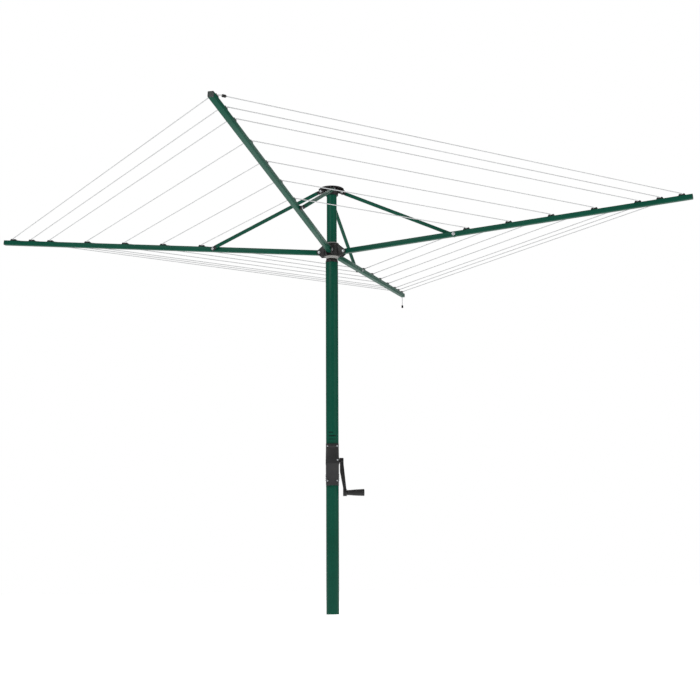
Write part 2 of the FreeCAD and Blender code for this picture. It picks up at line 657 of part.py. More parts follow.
def latch_knob():
    start = LATCH_BOSS_END + LATCH_CAP + 0.5
    r, end = LATCH_KNOB_R, start + LATCH_KNOB
    body = lathe([(0, start), (r - 3, start), (r - 3, start + 3), (r, start + 5), (r, end - 2), (r - 2, end),
                  (0, end)], X)
    return latch_place(body.cut(rod(PIN_R, vec(start - 1, 0, 0), vec(end - 3, 0, 0))))


def latch_spring():
    """Coil spring round the latch pin, between its collar and the screwed cap."""
    wire = SPRING_WIRE_R
    radius = PIN_R + RUNNING + wire + 0.4
    start = LATCH_POCKET_START + 0.3 + LATCH_COLLAR + 0.2
    end = LATCH_BOSS_END - 5 - 0.2
    helix = Part.makeHelix(SPRING_PITCH, end - start - 2 * wire, radius)
    section = Part.Wire(Part.makeCircle(wire, vec(radius, 0, 0), Y))
    coil = Part.Wire(helix).makePipeShell([section], True, True)
    coil.rotate(vec(0, 0, 0), Y, 90)
    coil.translate(vec(start + wire, 0, 0))
    return latch_place(coil)


# ---- arms ----------------------------------------------------------------------------------------
def clip_places():
    """Distance of each line clip from the arm's pivot, outermost first."""
    return [ARM_LENGTH - CLIP_FIRST - CLIP_UNIT * step for step in CLIP_STEPS]


def arm_tube(index):
    length = ARM_TAIL + ARM_LENGTH - TIP_CAP
    tube = rounded_bar(ARM_SIZE, ARM_CORNER, length)
    bore = rounded_bar(ARM_SIZE - 2 * ARM_WALL, ARM_CORNER - ARM_WALL, length + 2)
    bore.translate(vec(-1, 0, 0))
    tube = tube.cut(bore)
    tube.translate(vec(-ARM_TAIL, 0, 0))
    tube = tube.cut(rod(PIN_R + RUNNING, vec(0, -ARM_SIZE, 0), vec(0, ARM_SIZE, 0)))
    tube = tube.cut(rod(BOLT_R, vec(STRUT_JOINT, -ARM_SIZE, 0), vec(STRUT_JOINT, ARM_SIZE, 0)))
    for u in clip_places():
        tube = tube.cut(rod(CLIP_PEG_R, vec(u, 0, 0), vec(u, 0, ARM_SIZE)))
    return on_arm(tube, index)


def arm_tip(index):
    """Plastic plug that closes the arm's outer end."""
    inside = ARM_SIZE - 2 * ARM_WALL
    face = rounded_bar(ARM_SIZE, ARM_CORNER, TIP_CAP)
    plug = rounded_bar(inside, ARM_CORNER - ARM_WALL, 14)
    plug.translate(vec(-14, 0, 0))
    cap = fuse([face, plug])
    cap.translate(vec(ARM_LENGTH - TIP_CAP, 0, 0))
    return on_arm(cap, index)


def line_clip():
    """Long saddle that rises to a bump each side of the line's slot, with a peg into the arm's top."""
    top = ARM_SIZE / 2
    half, side = CLIP_LENGTH / 2, CLIP_WIDTH / 2
    slot = LINE_R + LINE_PLAY
    floor = top + CLIP_FLOOR
    crest = top + CLIP_HEIGHT
    crest_start, crest_end, shoulder = CLIP_CREST
    right = [(slot, floor), (slot, floor + CLIP_MOUTH), (crest_start, crest), (crest_end, crest),
             (shoulder, crest - CLIP_MOUTH), (half, top + CLIP_TOE), (half, top)]
    left = [(-u, w) for u, w in reversed(right)]
    body = plate(left + right, -side, side)
    return fuse([body, rod(CLIP_PEG_R, vec(0, 0, top - ARM_WALL - CLIP_PEG_DEPTH), vec(0, 0, top))])


def line_clips(index):
    clips = []
    for u in clip_places():
        clip = line_clip()
        clip.translate(vec(u, 0, 0))
        clips.append(on_arm(clip, index))
    return Part.Compound(clips)


def bolt_dome():
    """Outline of a domed bolt head, from its seat to its crown."""
    return [(0, 0), (BOLT_HEAD_R, 0), (BOLT_HEAD_R, BOLT_HEAD * 0.4), (BOLT_HEAD_R * 0.55, BOLT_HEAD),
            (0, BOLT_HEAD)]


def strut_bolt(index):
    """Bolt through the arm; its outer end stops short of the strut."""
    half = ARM_SIZE / 2
    bolt = fuse([rod(BOLT_R, vec(STRUT_JOINT, -half, 0), vec(STRUT_JOINT, half + FACE_GAP, 0)),
                 lathe(bolt_dome(), Y * -1, vec(STRUT_JOINT, -half, 0))])
    return on_arm(bolt, index)


# ---- lines ---------------------------------------------------------------------------------------
def line_corner(u):
    """Radius and height of the line where it crosses an arm at distance u."""
    radius = PIVOT_RADIUS + u * math.cos(SLOPE) - LINE_RISE * math.sin(SLOPE)
    return radius, PIVOT_Z + u * math.sin(SLOPE) + LINE_RISE * math.cos(SLOPE)


def bent_path(points, radius):
    """Straight runs joined by tangent arcs of one radius."""
    edges, start = [], points[0]
    for before, corner, after in zip(points, points[1:], points[2:]):
        back, ahead = before.sub(corner).normalize(), after.sub(corner).normalize()
        turn = math.pi - back.getAngle(ahead)
        setback = radius * math.tan(turn / 2)
        entry, leave = corner + back * setback, corner + ahead * setback
        middle = back.add(ahead).normalize()
        apex = corner + middle * (radius / math.cos(turn / 2) - radius)
        edges += [Part.LineSegment(start, entry).toShape(), Part.Arc(entry, apex, leave).toShape()]
        start = leave
    edges.append(Part.LineSegment(start, points[-1]).toShape())
    return Part.Wire(edges)


def cord(points, radius=LINE_BEND_R):
    path = bent_path(points, radius)
    section = Part.Wire(Part.makeCircle(LINE_R, points[0], points[1].sub(points[0])))
    tube = path.makePipeShell([section], True, False)
    expected = math.pi * LINE_R ** 2 * path.Length
    if abs(tube.Volume - expected) > 0.01 * expected:
        raise ValueError("line volume does not match its length")
    return tube


def line_bend_half():
    """Sideways distance from the arm's middle to where the line turns."""
    return CLIP_WIDTH / 2 + LINE_BEND_R * math.tan(math.radians(360 / ARM_COUNT / 4)) + 1


def arm_line(u):
    """Line from mid-span, over one arm's clip, to the next mid-span."""
    radius, z = line_corner(u)
    bend = line_bend_half()
    middle = (radius + bend) / 2 - LINE_MID_GAP * math.sqrt(0.5)
    inward = radius + bend - middle
    return cord([vec(inward, -middle, z), vec(radius, -bend, z), vec(radius, bend, z),
                 vec(inward, middle, z)])


def toggle_place():
    """Place of the toggle along the outermost line, on the side away from its arm's strut."""
    radius, z = line_corner(clip_places()[0])
    bend = line_bend_half()
    return vec(radius - 12, bend + 12, z), vec(-1, 1, 0).normalize()


def arm_lines(index):
    lines = [round_mast(arm_line(u), index) for u in clip_places()]
    return Part.Compound(lines)


def line_toggle(index):
    """Bead that clamps the line's end to the outermost loop."""
    place, along = toggle_place()
    bead = Part.makeCylinder(TOGGLE_R, TOGGLE_LENGTH, place - along * (TOGGLE_LENGTH / 2), along)
    bead = bead.makeFillet(1.5, [e for e in bead.Edges if e.Curve.TypeId == "Part::GeomCircle"])
    bore = Part.makeCylinder(LINE_R, TOGGLE_LENGTH + 2, place - along * (TOGGLE_LENGTH / 2 + 1), along)
    return round_mast(bead.cut(bore), index)


# ---- struts --------------------------------------------------------------------------------------
def strut_tube(index):
    tube = ring(STRUT_R, STRUT_R - STRUT_WALL, vec(STRUT_TUBE_START, STRUT_OFFSET, 0),
                vec(STRUT_LENGTH - STRUT_TUBE_START, STRUT_OFFSET, 0))
    return on_strut(tube, index)


def strut_end():
    """End fitting with its pivot at x = 0 and the tube towards +X."""
    r = STRUT_TONGUE_R
    eye = Part.makeCylinder(r, STRUT_TONGUE, vec(0, STRUT_NEAR, 0), Y)
    tongue = box(vec(0, STRUT_NEAR, -STRUT_R + 0.5), vec(STRUT_TUBE_START, STRUT_FAR, STRUT_R - 0.5))
    collar = rod(STRUT_R, vec(STRUT_TUBE_START - 4, STRUT_OFFSET, 0), vec(STRUT_TUBE_START, STRUT_OFFSET, 0))
    plug = rod(STRUT_R - STRUT_WALL, vec(STRUT_TUBE_START, STRUT_OFFSET, 0),
               vec(STRUT_TUBE_START + 16, STRUT_OFFSET, 0))
    return fuse([eye, tongue, collar, plug])


def strut_fittings(index):
    """Both end fittings, and the rivet head on the arm's bolt."""
    upper = strut_end().cut(rod(BOLT_R + RUNNING, vec(0, 0, 0), vec(0, STRUT_FAR + 1, 0)))
    lower = strut_end().cut(rod(BOLT_R, vec(0, 0, 0), vec(0, STRUT_FAR + 1, 0)))
    lower.rotate(vec(0, 0, 0), Y, 180)
    lower.translate(vec(STRUT_LENGTH, 0, 0))
    rivet = fuse([rod(BOLT_R, vec(STRUT_LENGTH, STRUT_NEAR, 0), vec(STRUT_LENGTH, STRUT_FAR, 0)),
                  lathe(bolt_dome(), Y, vec(STRUT_LENGTH, STRUT_FAR, 0))])
    return on_strut(Part.Compound([upper, lower, rivet]), index)


# ---- hanging line end ----------------------------------------------------------------------------
def tail_start():
    """Where the tail leaves the underside of the tip on its arm."""
    radius, z = line_corner(clip_places()[0])
    return vec(radius + 24, 0, z - LINE_RISE - ARM_SIZE / 2 - 0.8)


def line_tail():
    top = tail_start()
    tube = rod(LINE_R, top, top - Z * TAIL_DROP)
    return round_mast(tube, TAIL_ARM)


def tail_toggle():
    top = tail_start() - Z * TAIL_DROP
    bead = lathe([(0, 0), (TOGGLE_R - 1.5, 0), (TOGGLE_R, 1.5), (TOGGLE_R, TOGGLE_LENGTH - 1.5),
                  (TOGGLE_R - 1.5, TOGGLE_LENGTH), (0, TOGGLE_LENGTH)], Z * -1, top)
    return round_mast(bead, TAIL_ARM)


# ---- output --------------------------------------------------------------------------------------
def build():
    nodes = {
        "outer_mast": outer_mast(), "top_bush": top_bush(), "winder_cover": winder_cover(),
        "winder_back": winder_back(), "winder_screws": winder_screws(), "crank_bush": crank_bush(),
        "screw_support": screw_support(), "support_washer": support_washer(), "guide_strip": guide_strip(),
        "crank_shaft": crank_shaft(), "pinion": pinion(), "crank_arm": crank_arm(),
        "grip_spindle": grip_spindle(), "crank_grip": crank_grip(),
        "lift_screw": lift_screw(), "crown_gear": crown_gear(),
        "lift_nut": lift_nut(), "thrust_washer": thrust_washer(),
        "inner_mast": inner_mast(), "mast_foot": mast_foot(), "hub_sleeve": hub_sleeve(),
        "top_cap": top_cap(), "strut_pins": strut_pins(),
        "hub": hub(), "arm_pins": arm_pins(), "latch_cap": latch_cap(), "latch_spring": latch_spring(),
        "latch_pin": latch_pin(), "latch_knob": latch_knob(),
        "line_toggle": line_toggle(TOGGLE_ARM), "line_tail": line_tail(), "tail_toggle": tail_toggle(),
    }
    for index in range(ARM_COUNT):
        for name, make in (("arm_tube", arm_tube), ("arm_tip", arm_tip), ("line_clips", line_clips),
                           ("strut_bolt", strut_bolt), ("arm_lines", arm_lines),
                           ("strut_tube", strut_tube), ("strut_fittings", strut_fittings)):
            nodes[f"{name}_{index + 1}"] = make(index)
    return nodes


def main():
    os.makedirs("parts", exist_ok=True)
    for name, shape in build().items():
        if not shape.isValid() or shape.Volume <= 0:
            raise ValueError(f"{name} is not a valid solid")
        shape.exportStep(f"parts/{name}.step")
        print(f"{name:18s} solids {len(shape.Solids):2d}  volume {shape.Volume / 1000:9.2f} cm3")
    print(f"fold travel {FOLD_TRAVEL:.2f}  arm turn {ARM_FOLDED - ARM_SLOPE:.2f}"
          f"  strut turn {STRUT_FOLDED - STRUT_SLOPE:.2f}  strut length {STRUT_LENGTH:.2f}")
    print(f"crank turns {CRANK_TURNS:.1f}  line bend radius {LINE_BEND_R}")


main()
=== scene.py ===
import json
import math

import bmesh
import bpy
from bpy.props import FloatProperty, FloatVectorProperty, IntProperty, PointerProperty
from mathutils import Matrix, Vector


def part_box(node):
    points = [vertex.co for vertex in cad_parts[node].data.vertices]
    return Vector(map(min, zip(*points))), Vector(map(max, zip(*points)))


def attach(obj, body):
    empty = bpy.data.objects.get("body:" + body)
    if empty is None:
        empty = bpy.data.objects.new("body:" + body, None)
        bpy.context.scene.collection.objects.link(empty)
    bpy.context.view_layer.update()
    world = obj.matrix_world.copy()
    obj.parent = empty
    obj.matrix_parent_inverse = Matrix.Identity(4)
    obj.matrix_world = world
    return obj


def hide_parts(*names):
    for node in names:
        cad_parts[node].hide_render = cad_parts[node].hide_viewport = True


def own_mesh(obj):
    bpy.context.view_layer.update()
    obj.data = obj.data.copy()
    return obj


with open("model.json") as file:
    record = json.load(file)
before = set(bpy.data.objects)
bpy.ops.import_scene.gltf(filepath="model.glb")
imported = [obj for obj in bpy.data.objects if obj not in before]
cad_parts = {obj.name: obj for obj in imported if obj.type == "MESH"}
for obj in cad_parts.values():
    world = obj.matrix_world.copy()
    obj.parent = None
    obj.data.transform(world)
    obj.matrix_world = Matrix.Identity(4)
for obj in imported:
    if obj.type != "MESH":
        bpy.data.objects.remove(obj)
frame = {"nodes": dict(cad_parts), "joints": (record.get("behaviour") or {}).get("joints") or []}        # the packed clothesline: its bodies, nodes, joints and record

bl_info = {
    "name": "Rotary Clothesline",
    "version": (1, 0, 0),
    "blender": (4, 5, 0),
    "location": "3D View > Sidebar > Clothesline",
    "description": "Builds the finished clothesline on its packed frame",
    "category": "Add Mesh",
}

# ---- places taken from the frame -------------------------------------------------------------------
JOINTS = {joint["name"]: joint for joint in frame["joints"]}
ARMS = (1, 2, 3, 4)
UP = Vector((0, 0, 1))


def joint_place(name):
    return Vector(JOINTS[name]["pos_m"])


MAST_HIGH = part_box("outer_mast")[1]
BUSH_LOW, BUSH_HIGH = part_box("top_bush")
INNER_LOW, INNER_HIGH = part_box("inner_mast")
COVER_LOW, COVER_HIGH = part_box("winder_cover")
BACK_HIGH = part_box("winder_back")[1]
SLEEVE_LOW, SLEEVE_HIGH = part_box("hub_sleeve")
CAP_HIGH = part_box("top_cap")[1]
GRIP_LOW, GRIP_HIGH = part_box("crank_grip")
TAIL_LOW, TAIL_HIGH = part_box("line_tail")
TOGGLE_LOW, TOGGLE_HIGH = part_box("tail_toggle")
BEAD_LOW, BEAD_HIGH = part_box("line_toggle")
PIVOT_Z = joint_place("arm_fold_1").z
PIVOT_RADIUS = joint_place("arm_fold_1").xy.length
CAP_PIVOT_Z = joint_place("strut_fold_1").z
CAP_PIVOT_RADIUS = joint_place("strut_fold_1").xy.length
SHAFT = joint_place("crank_turn")
FIRST_AZIMUTH = math.atan2(joint_place("arm_fold_1").y, joint_place("arm_fold_1").x)
LATCH_WAY = Vector(JOINTS["latch_pull"]["axis"])
LATCH_HEIGHT = (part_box("latch_cap")[0].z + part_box("latch_cap")[1].z) / 2
HUB_BASE, HUB_TOP = PIVOT_Z - 0.020, PIVOT_Z + 0.034

# ---- sizes shared by several pieces, in metres -----------------------------------------------------
MAST_WALL = 0.0016
BUSH_PLAY = 0.00007       # between the rising tube and its bush
TUBE_PLAY = 0.0001        # between a tube's bore and what fits in it
CRANK_BORE_R = 0.0051
EYE_R = 0.0085            # round end of a strut fitting, and of the cap's lugs
CAP_R = 0.051
CAP_TUBE_R = 0.0207       # bore of the cap's boss
CLIP_STEPS = (0, 1, 2, 4, 6, 8, 10)


def srgb(red, green, blue):
    """Linear colour from 0-255 display values."""
    def linear(value):
        value /= 255
        return value / 12.92 if value <= 0.04045 else ((value + 0.055) / 1.055) ** 2.4
    return linear(red), linear(green), linear(blue)


# ---- settings --------------------------------------------------------------------------------------
def length(name, description, default):
    return FloatProperty(name=name, description=description, default=default, min=0, precision=4,
                         subtype="DISTANCE", unit="LENGTH")


def colour(name, description, default):
    return FloatVectorProperty(name=name, description=description, default=default, size=3, min=0, max=1,
                               subtype="COLOR")


class ClotheslineSizes(bpy.types.PropertyGroup):
    """Sizes of the finished pieces."""
    arm_slope: FloatProperty(name="Arm slope", description="Rise of an open arm above level",
                             default=math.radians(5.4), subtype="ANGLE", unit="ROTATION")
    arm_length: length("Arm length", "Arm pivot to the outer face of the tip", 1.424)
    arm_size: length("Arm size", "Width of the square arm tube", 0.020)
    arm_corner: length("Arm corner", "Outside radius of the arm tube's corners", 0.0025)
    arm_tail: length("Arm tail", "Tube that reaches behind the pivot", 0.012)
    tip_cap: length("Tip cap", "Thickness of the arm's end plug outside the tube", 0.003)
    wall: length("Tube wall", "Wall of the arm and strut tubes", 0.0012)
    clip_first: length("First clip", "Arm tip to the outermost line", 0.042)
    clip_unit: length("Clip unit", "Spacing unit of the line clips", 0.0865)
    clip_length: length("Clip length", "Length of a clip along the arm", 0.028)
    clip_width: length("Clip width", "Width of a clip across the arm", 0.014)
    clip_floor: length("Clip floor", "Height of a clip's floor above the arm", 0.0042)
    clip_height: length("Clip height", "Height of a clip's jaws above the arm", 0.0075)
    line_radius: length("Line radius", "Half the thickness of the covered line", 0.0017)
    line_bend: length("Line bend", "Radius of the line where it leaves a clip", 0.009)
    line_gap: length("Line gap", "Distance of a half span's end from the middle", 0.00015)
    strut_joint: length("Strut joint", "Arm pivot to the strut's bolt", 0.462)
    strut_radius: length("Strut radius", "Half the thickness of a strut", 0.0075)
    strut_near: length("Strut near face", "Arm's middle plane to the near face of the strut's eye", 0.0113)
    strut_tongue: length("Strut tongue", "Thickness of the strut's eye", 0.008)
    tube_start: length("Strut tube start", "Strut pivot to the end of its tube", 0.017)
    bolt_head: length("Bolt head", "Height of a domed bolt head", 0.003)
    edge: length("Eased edge", "Rounding of moulded edges", 0.0006)


class ClotheslineColours(bpy.types.PropertyGroup):
    """Colours of the finishes."""
    paint: colour("Green paint", "Powder coat of the mast, arms and struts", srgb(2, 70, 53))
    plastic: colour("Black plastic", "Hub, cap, clips and fittings", srgb(26, 25, 26))
    casing: colour("Casing plastic", "Winder casing", srgb(36, 36, 37))
    tip: colour("Grey plastic", "Arm tips", srgb(40, 50, 47))
    nylon: colour("Pale nylon", "Sleeve under the hub", srgb(150, 149, 146))
    zinc: colour("Zinc", "Bolts and rivets", srgb(168, 171, 173))
    steel: colour("Steel", "Shafts and gears", srgb(176, 178, 180))
    line: colour("Line", "Covered line", srgb(188, 189, 190))
    print_ink: colour("Print", "Plain bars printed on the mast", srgb(4, 30, 22))
    floor: colour("Floor", "Studio floor", srgb(250, 250, 250))


class ClotheslineStage(bpy.types.PropertyGroup):
    """Camera and light."""
    camera_place: FloatVectorProperty(name="Camera place", description="Where the camera stands",
                                      default=(0.0096, -5.2919, 0.1047), subtype="TRANSLATION", unit="LENGTH")
    camera_lens: FloatProperty(name="Lens", description="Focal length in millimetres", default=67.716, min=1)
    camera_pan: FloatProperty(name="Pan", description="Turn of the camera towards +X",
                              default=math.radians(3.675), subtype="ANGLE", unit="ROTATION")
    camera_pitch: FloatProperty(name="Pitch", description="Tilt of the camera above level",
                                default=math.radians(10.138), subtype="ANGLE", unit="ROTATION")
    camera_roll: FloatProperty(name="Roll", description="Turn of the camera about its view",
                               default=math.radians(-0.819), subtype="ANGLE", unit="ROTATION")
    camera_shift: FloatVectorProperty(name="Shift", description="Sideways and upward shift of the lens",
                                      default=(-0.0967, 0.001), size=2)
    floor_size: length("Floor size", "Side of the square floor", 60.0)
    key_power: FloatProperty(name="Key light", description="Power of the main soft light", default=120.0,
                             min=0, subtype="POWER", unit="POWER")
    fill_power: FloatProperty(name="Fill light", description="Power of the side soft light", default=46.0,
                              min=0, subtype="POWER", unit="POWER")
    surround: FloatProperty(name="Surround", description="Brightness of the room round the object",
                            default=0.34, min=0)


SETTINGS = (("clothesline_sizes", ClotheslineSizes), ("clothesline_colours", ClotheslineColours),
            ("clothesline_stage", ClotheslineStage))


def sizes():
    return bpy.context.scene.clothesline_sizes


def colours():
    return bpy.context.scene.clothesline_colours


# ---- node helpers ----------------------------------------------------------------------------------
def node(tree, kind, inputs=None, **settings):
    """Add a node; inputs are values or sockets, by name or number."""
    made = tree.nodes.new(kind)
    for key, value in settings.items():
        setattr(made, key, value)
    for key, value in (inputs or {}).items():
        if isinstance(value, bpy.types.NodeSocket):
            tree.links.new(value, made.inputs[key])
        else:
            made.inputs[key].default_value = value
    return made


def sums(tree, operation, *values):
    """Math node on numbers or sockets."""
    made = node(tree, "ShaderNodeMath", dict(enumerate(values)), operation=operation)
    return made.outputs[0]


def mixed(tree, share, first, second):
    """Colour mix of two colours or sockets."""
    made = node(tree, "ShaderNodeMix", data_type="RGBA")
    for index, value in ((0, share), (6, first), (7, second)):
        if isinstance(value, bpy.types.NodeSocket):
            tree.links.new(value, made.inputs[index])
        else:
            made.inputs[index].default_value = value if index == 0 else (*value[:3], 1)
    return made.outputs[2]


def ranged(tree, value, low, high, to_low, to_high):
    made = node(tree, "ShaderNodeMapRange", {"Value": value, "From Min": low, "From Max": high,
                                             "To Min": to_low, "To Max": to_high}, clamp=True)
    return made.outputs[0]


def effect(name, inputs, outputs):
    """Empty shader node group with named sockets; returns it with its input sockets and output node."""
    group = bpy.data.node_groups.new(name, "ShaderNodeTree")
    for label, kind, default in inputs:
        socket = group.interface.new_socket(label, in_out="INPUT", socket_type=kind)
        if default is not None:
            socket.default_value = default
    for label, kind in outputs:
        group.interface.new_socket(label, in_out="OUTPUT", socket_type=kind)
    start = group.nodes.new("NodeGroupInput")
    return group, start.outputs, group.nodes.new("NodeGroupOutput")


NUMBER, COLOUR, WAY = "NodeSocketFloat", "NodeSocketColor", "NodeSocketVector"


def cloudy_tint():
    """Slow drift between two shades, with finer mottling on top."""
    group, given, out = effect("Cloudy Tint", [("Vector", WAY, None), ("Shade A", COLOUR, None),
                                               ("Shade B", COLOUR, None), ("Cloud Size", NUMBER, 6.0)],
                               [("Colour", COLOUR), ("Mask", NUMBER)])
    broad = node(group, "ShaderNodeTexNoise", {"Vector": given["Vector"], "Scale": given["Cloud Size"],
                                               "Detail": 3.0, "Roughness": 0.55})
    fine = node(group, "ShaderNodeTexNoise", {"Vector": given["Vector"],
                                              "Scale": sums(group, "MULTIPLY", given["Cloud Size"], 23.0),
                                              "Detail": 2.0})
    blend = sums(group, "ADD", sums(group, "MULTIPLY", broad.outputs[0], 0.7),
                 sums(group, "MULTIPLY", fine.outputs[0], 0.3))
    mask = ranged(group, blend, 0.38, 0.62, 0.0, 1.0)
    group.links.new(mixed(group, mask, given["Shade A"], given["Shade B"]), out.inputs["Colour"])
    group.links.new(mask, out.inputs["Mask"])
    return group


def settled_dust():
    """Pale dust that lies on faces turned upwards and in patches."""
    group, given, out = effect("Settled Dust", [("Vector", WAY, None), ("Surface Normal", WAY, None),
                                                ("Colour", COLOUR, None), ("Dust", COLOUR, None),
                                                ("Amount", NUMBER, 0.2), ("Patch Size", NUMBER, 14.0)],
                               [("Colour", COLOUR), ("Mask", NUMBER)])
    facing = node(group, "ShaderNodeSeparateXYZ", {0: given["Surface Normal"]}).outputs[2]
    top = ranged(group, facing, 0.1, 0.9, 0.12, 1.0)
    patches = node(group, "ShaderNodeTexNoise", {"Vector": given["Vector"], "Scale": given["Patch Size"],
                                                 "Detail": 5.0, "Roughness": 0.62})
    mask = sums(group, "MULTIPLY", top, ranged(group, patches.outputs[0], 0.42, 0.68, 0.0, 1.0))
    mask = sums(group, "MULTIPLY", mask, given["Amount"])
    group.links.new(mixed(group, mask, given["Colour"], given["Dust"]), out.inputs["Colour"])
    group.links.new(mask, out.inputs["Mask"])
    return group


def hair_scratches():
    """Thin rub marks that run roughly along one direction."""
    group, given, out = effect("Hair Scratches", [
        ("Vector", WAY, None), ("Direction", WAY, (60.0, 60.0, 4.0)), ("Coverage", NUMBER, 0.3)],
        [("Mask", NUMBER)])
    stretched = node(group, "ShaderNodeMapping", {"Vector": given["Vector"], "Scale": given["Direction"]})
    bent = node(group, "ShaderNodeTexNoise", {"Vector": stretched.outputs[0], "Scale": 9.0, "Detail": 6.0,
                                              "Roughness": 0.7, "Distortion": 0.4})
    where = node(group, "ShaderNodeTexNoise", {"Vector": given["Vector"], "Scale": 7.0, "Detail": 2.0})
    line = ranged(group, bent.outputs[0], 0.66, 0.74, 0.0, 1.0)
    patch = ranged(group, where.outputs[0], 0.45, 0.65, 0.0, 1.0)
    mask = sums(group, "MULTIPLY", sums(group, "MULTIPLY", line, patch), given["Coverage"])
    group.links.new(mask, out.inputs["Mask"])
    return group


def orange_peel():
    """Soft ripple of a sprayed coat with a few specks in it."""
    group, given, out = effect("Orange Peel", [("Vector", WAY, None), ("Ripple", NUMBER, 420.0),
                                               ("Specks", NUMBER, 0.25)], [("Height", NUMBER)])
    ripple = node(group, "ShaderNodeTexNoise", {"Vector": given["Vector"], "Scale": given["Ripple"],
                                                "Detail": 1.0})
    cells = node(group, "ShaderNodeTexVoronoi", {"Vector": given["Vector"],
                                                 "Scale": sums(group, "MULTIPLY", given["Ripple"], 0.7)})
    speck = ranged(group, cells.outputs["Distance"], 0.0, 0.18, 1.0, 0.0)
    group.links.new(sums(group, "ADD", ripple.outputs[0], sums(group, "MULTIPLY", speck, given["Specks"])),
                    out.inputs["Height"])
    return group


def moulded_grain():
    """Fine spark-eroded grain of a moulding tool."""
    group, given, out = effect("Moulded Grain", [
        ("Vector", WAY, None), ("Grain", NUMBER, 900.0), ("Depth", NUMBER, 1.0)],
        [("Height", NUMBER), ("Mask", NUMBER)])
    cells = node(group, "ShaderNodeTexVoronoi", {"Vector": given["Vector"], "Scale": given["Grain"]},
                 feature="SMOOTH_F1")
    noise = node(group, "ShaderNodeTexNoise", {"Vector": given["Vector"],
                                               "Scale": sums(group, "MULTIPLY", given["Grain"], 0.6),
                                               "Detail": 3.0})
    height = sums(group, "MULTIPLY", sums(group, "ADD", cells.outputs["Distance"], noise.outputs[0]), 0.5)
    group.links.new(sums(group, "MULTIPLY", height, given["Depth"]), out.inputs["Height"])
    group.links.new(ranged(group, height, 0.3, 0.6, 0.0, 1.0), out.inputs["Mask"])
    return group


def tool_marks():
    """Close lines left by turning or drawing, laid across one axis."""
    group, given, out = effect("Tool Marks", [("Vector", WAY, None), ("Across", WAY, (30.0, 30.0, 900.0))],
                               [("Height", NUMBER), ("Mask", NUMBER)])
    stretched = node(group, "ShaderNodeMapping", {"Vector": given["Vector"], "Scale": given["Across"]})
    lines = node(group, "ShaderNodeTexNoise", {"Vector": stretched.outputs[0], "Scale": 1.0, "Detail": 4.0,
                                               "Roughness": 0.6})
    group.links.new(lines.outputs[0], out.inputs["Height"])
    group.links.new(ranged(group, lines.outputs[0], 0.35, 0.65, 0.0, 1.0), out.inputs["Mask"])
    return group


EFFECTS = {"tint": cloudy_tint, "dust": settled_dust, "scratches": hair_scratches, "peel": orange_peel,
           "grain": moulded_grain, "marks": tool_marks}
built_effects = {}
finishes = {}


class Finish:
    """One material under construction, with its coordinates and shader ready."""

    def __init__(self, name):
        self.material = bpy.data.materials.new(name)
        self.material.use_nodes = True
        self.tree = self.material.node_tree
        self.tree.nodes.clear()
        coordinates = node(self.tree, "ShaderNodeTexCoord")
        self.place, self.facing = coordinates.outputs["Object"], coordinates.outputs["Normal"]
        self.shader = node(self.tree, "ShaderNodeBsdfPrincipled")
        node(self.tree, "ShaderNodeOutputMaterial", {"Surface": self.shader.outputs[0]})

    def use(self, effect_name, **inputs):
        """Place a shared effect with this material's own values."""
        if effect_name not in built_effects:
            built_effects[effect_name] = EFFECTS[effect_name]()
        made = node(self.tree, "ShaderNodeGroup", node_tree=built_effects[effect_name])
        self.tree.links.new(self.place, made.inputs["Vector"])
        for key, value in inputs.items():
            socket = made.inputs[key.replace("_", " ")]
            if isinstance(value, bpy.types.NodeSocket):
                self.tree.links.new(value, socket)
            elif socket.type == "RGBA":
                socket.default_value = (*value[:3], 1)
            else:
                socket.default_value = value
        return made.outputs

    def tinted(self, shade, drift, cloud_size):
        """Base shade that drifts by a share of its own brightness."""
        dark = [value * (1 - drift) for value in shade]
        light = [min(1.0, value * (1 + drift)) for value in shade]
        return self.use("tint", Shade_A=dark, Shade_B=light, Cloud_Size=cloud_size)

    def bump(self, height, distance, strength=1.0, under=None):
        inputs = {"Height": height, "Distance": distance, "Strength": strength}
        if under is not None:
            inputs["Normal"] = under
        return node(self.tree, "ShaderNodeBump", inputs).outputs[0]

    def set(self, **inputs):
        for key, value in inputs.items():
            socket = self.shader.inputs[key.replace("_", " ")]
            if isinstance(value, bpy.types.NodeSocket):
                self.tree.links.new(value, socket)
            else:
                socket.default_value = value
        return self.material


DUST = srgb(196, 190, 176)


def powder_coat(name, shade, ink=None):
    """Sprayed green coat; the mast's version carries plain printed bars."""
    f = Finish(name)
    tint = f.tinted(shade, 0.10, 5.0)
    worn = f.use("scratches", Direction=(55.0, 55.0, 5.0), Coverage=0.16)
    coat = mixed(f.tree, worn["Mask"], tint["Colour"], [min(1.0, value * 2.2 + 0.02) for value in shade])
    if ink:
        coat = mixed(f.tree, printed_bars(f), coat, ink)
    dusty = f.use("dust", Surface_Normal=f.facing, Colour=coat, Dust=DUST, Amount=0.03, Patch_Size=9.0)
    rough = sums(f.tree, "ADD", ranged(f.tree, tint["Mask"], 0, 1, 0.36, 0.44),
                 sums(f.tree, "MULTIPLY", dusty["Mask"], 1.2))
    peel = f.use("peel", Ripple=380.0, Specks=0.2)
    normal = f.bump(peel["Height"], 0.00004, 0.25)
    normal = f.bump(worn["Mask"], 0.00004, 0.4, normal)
    return f.set(Base_Color=dusty["Colour"], Roughness=rough, Normal=normal, Specular_IOR_Level=0.12)


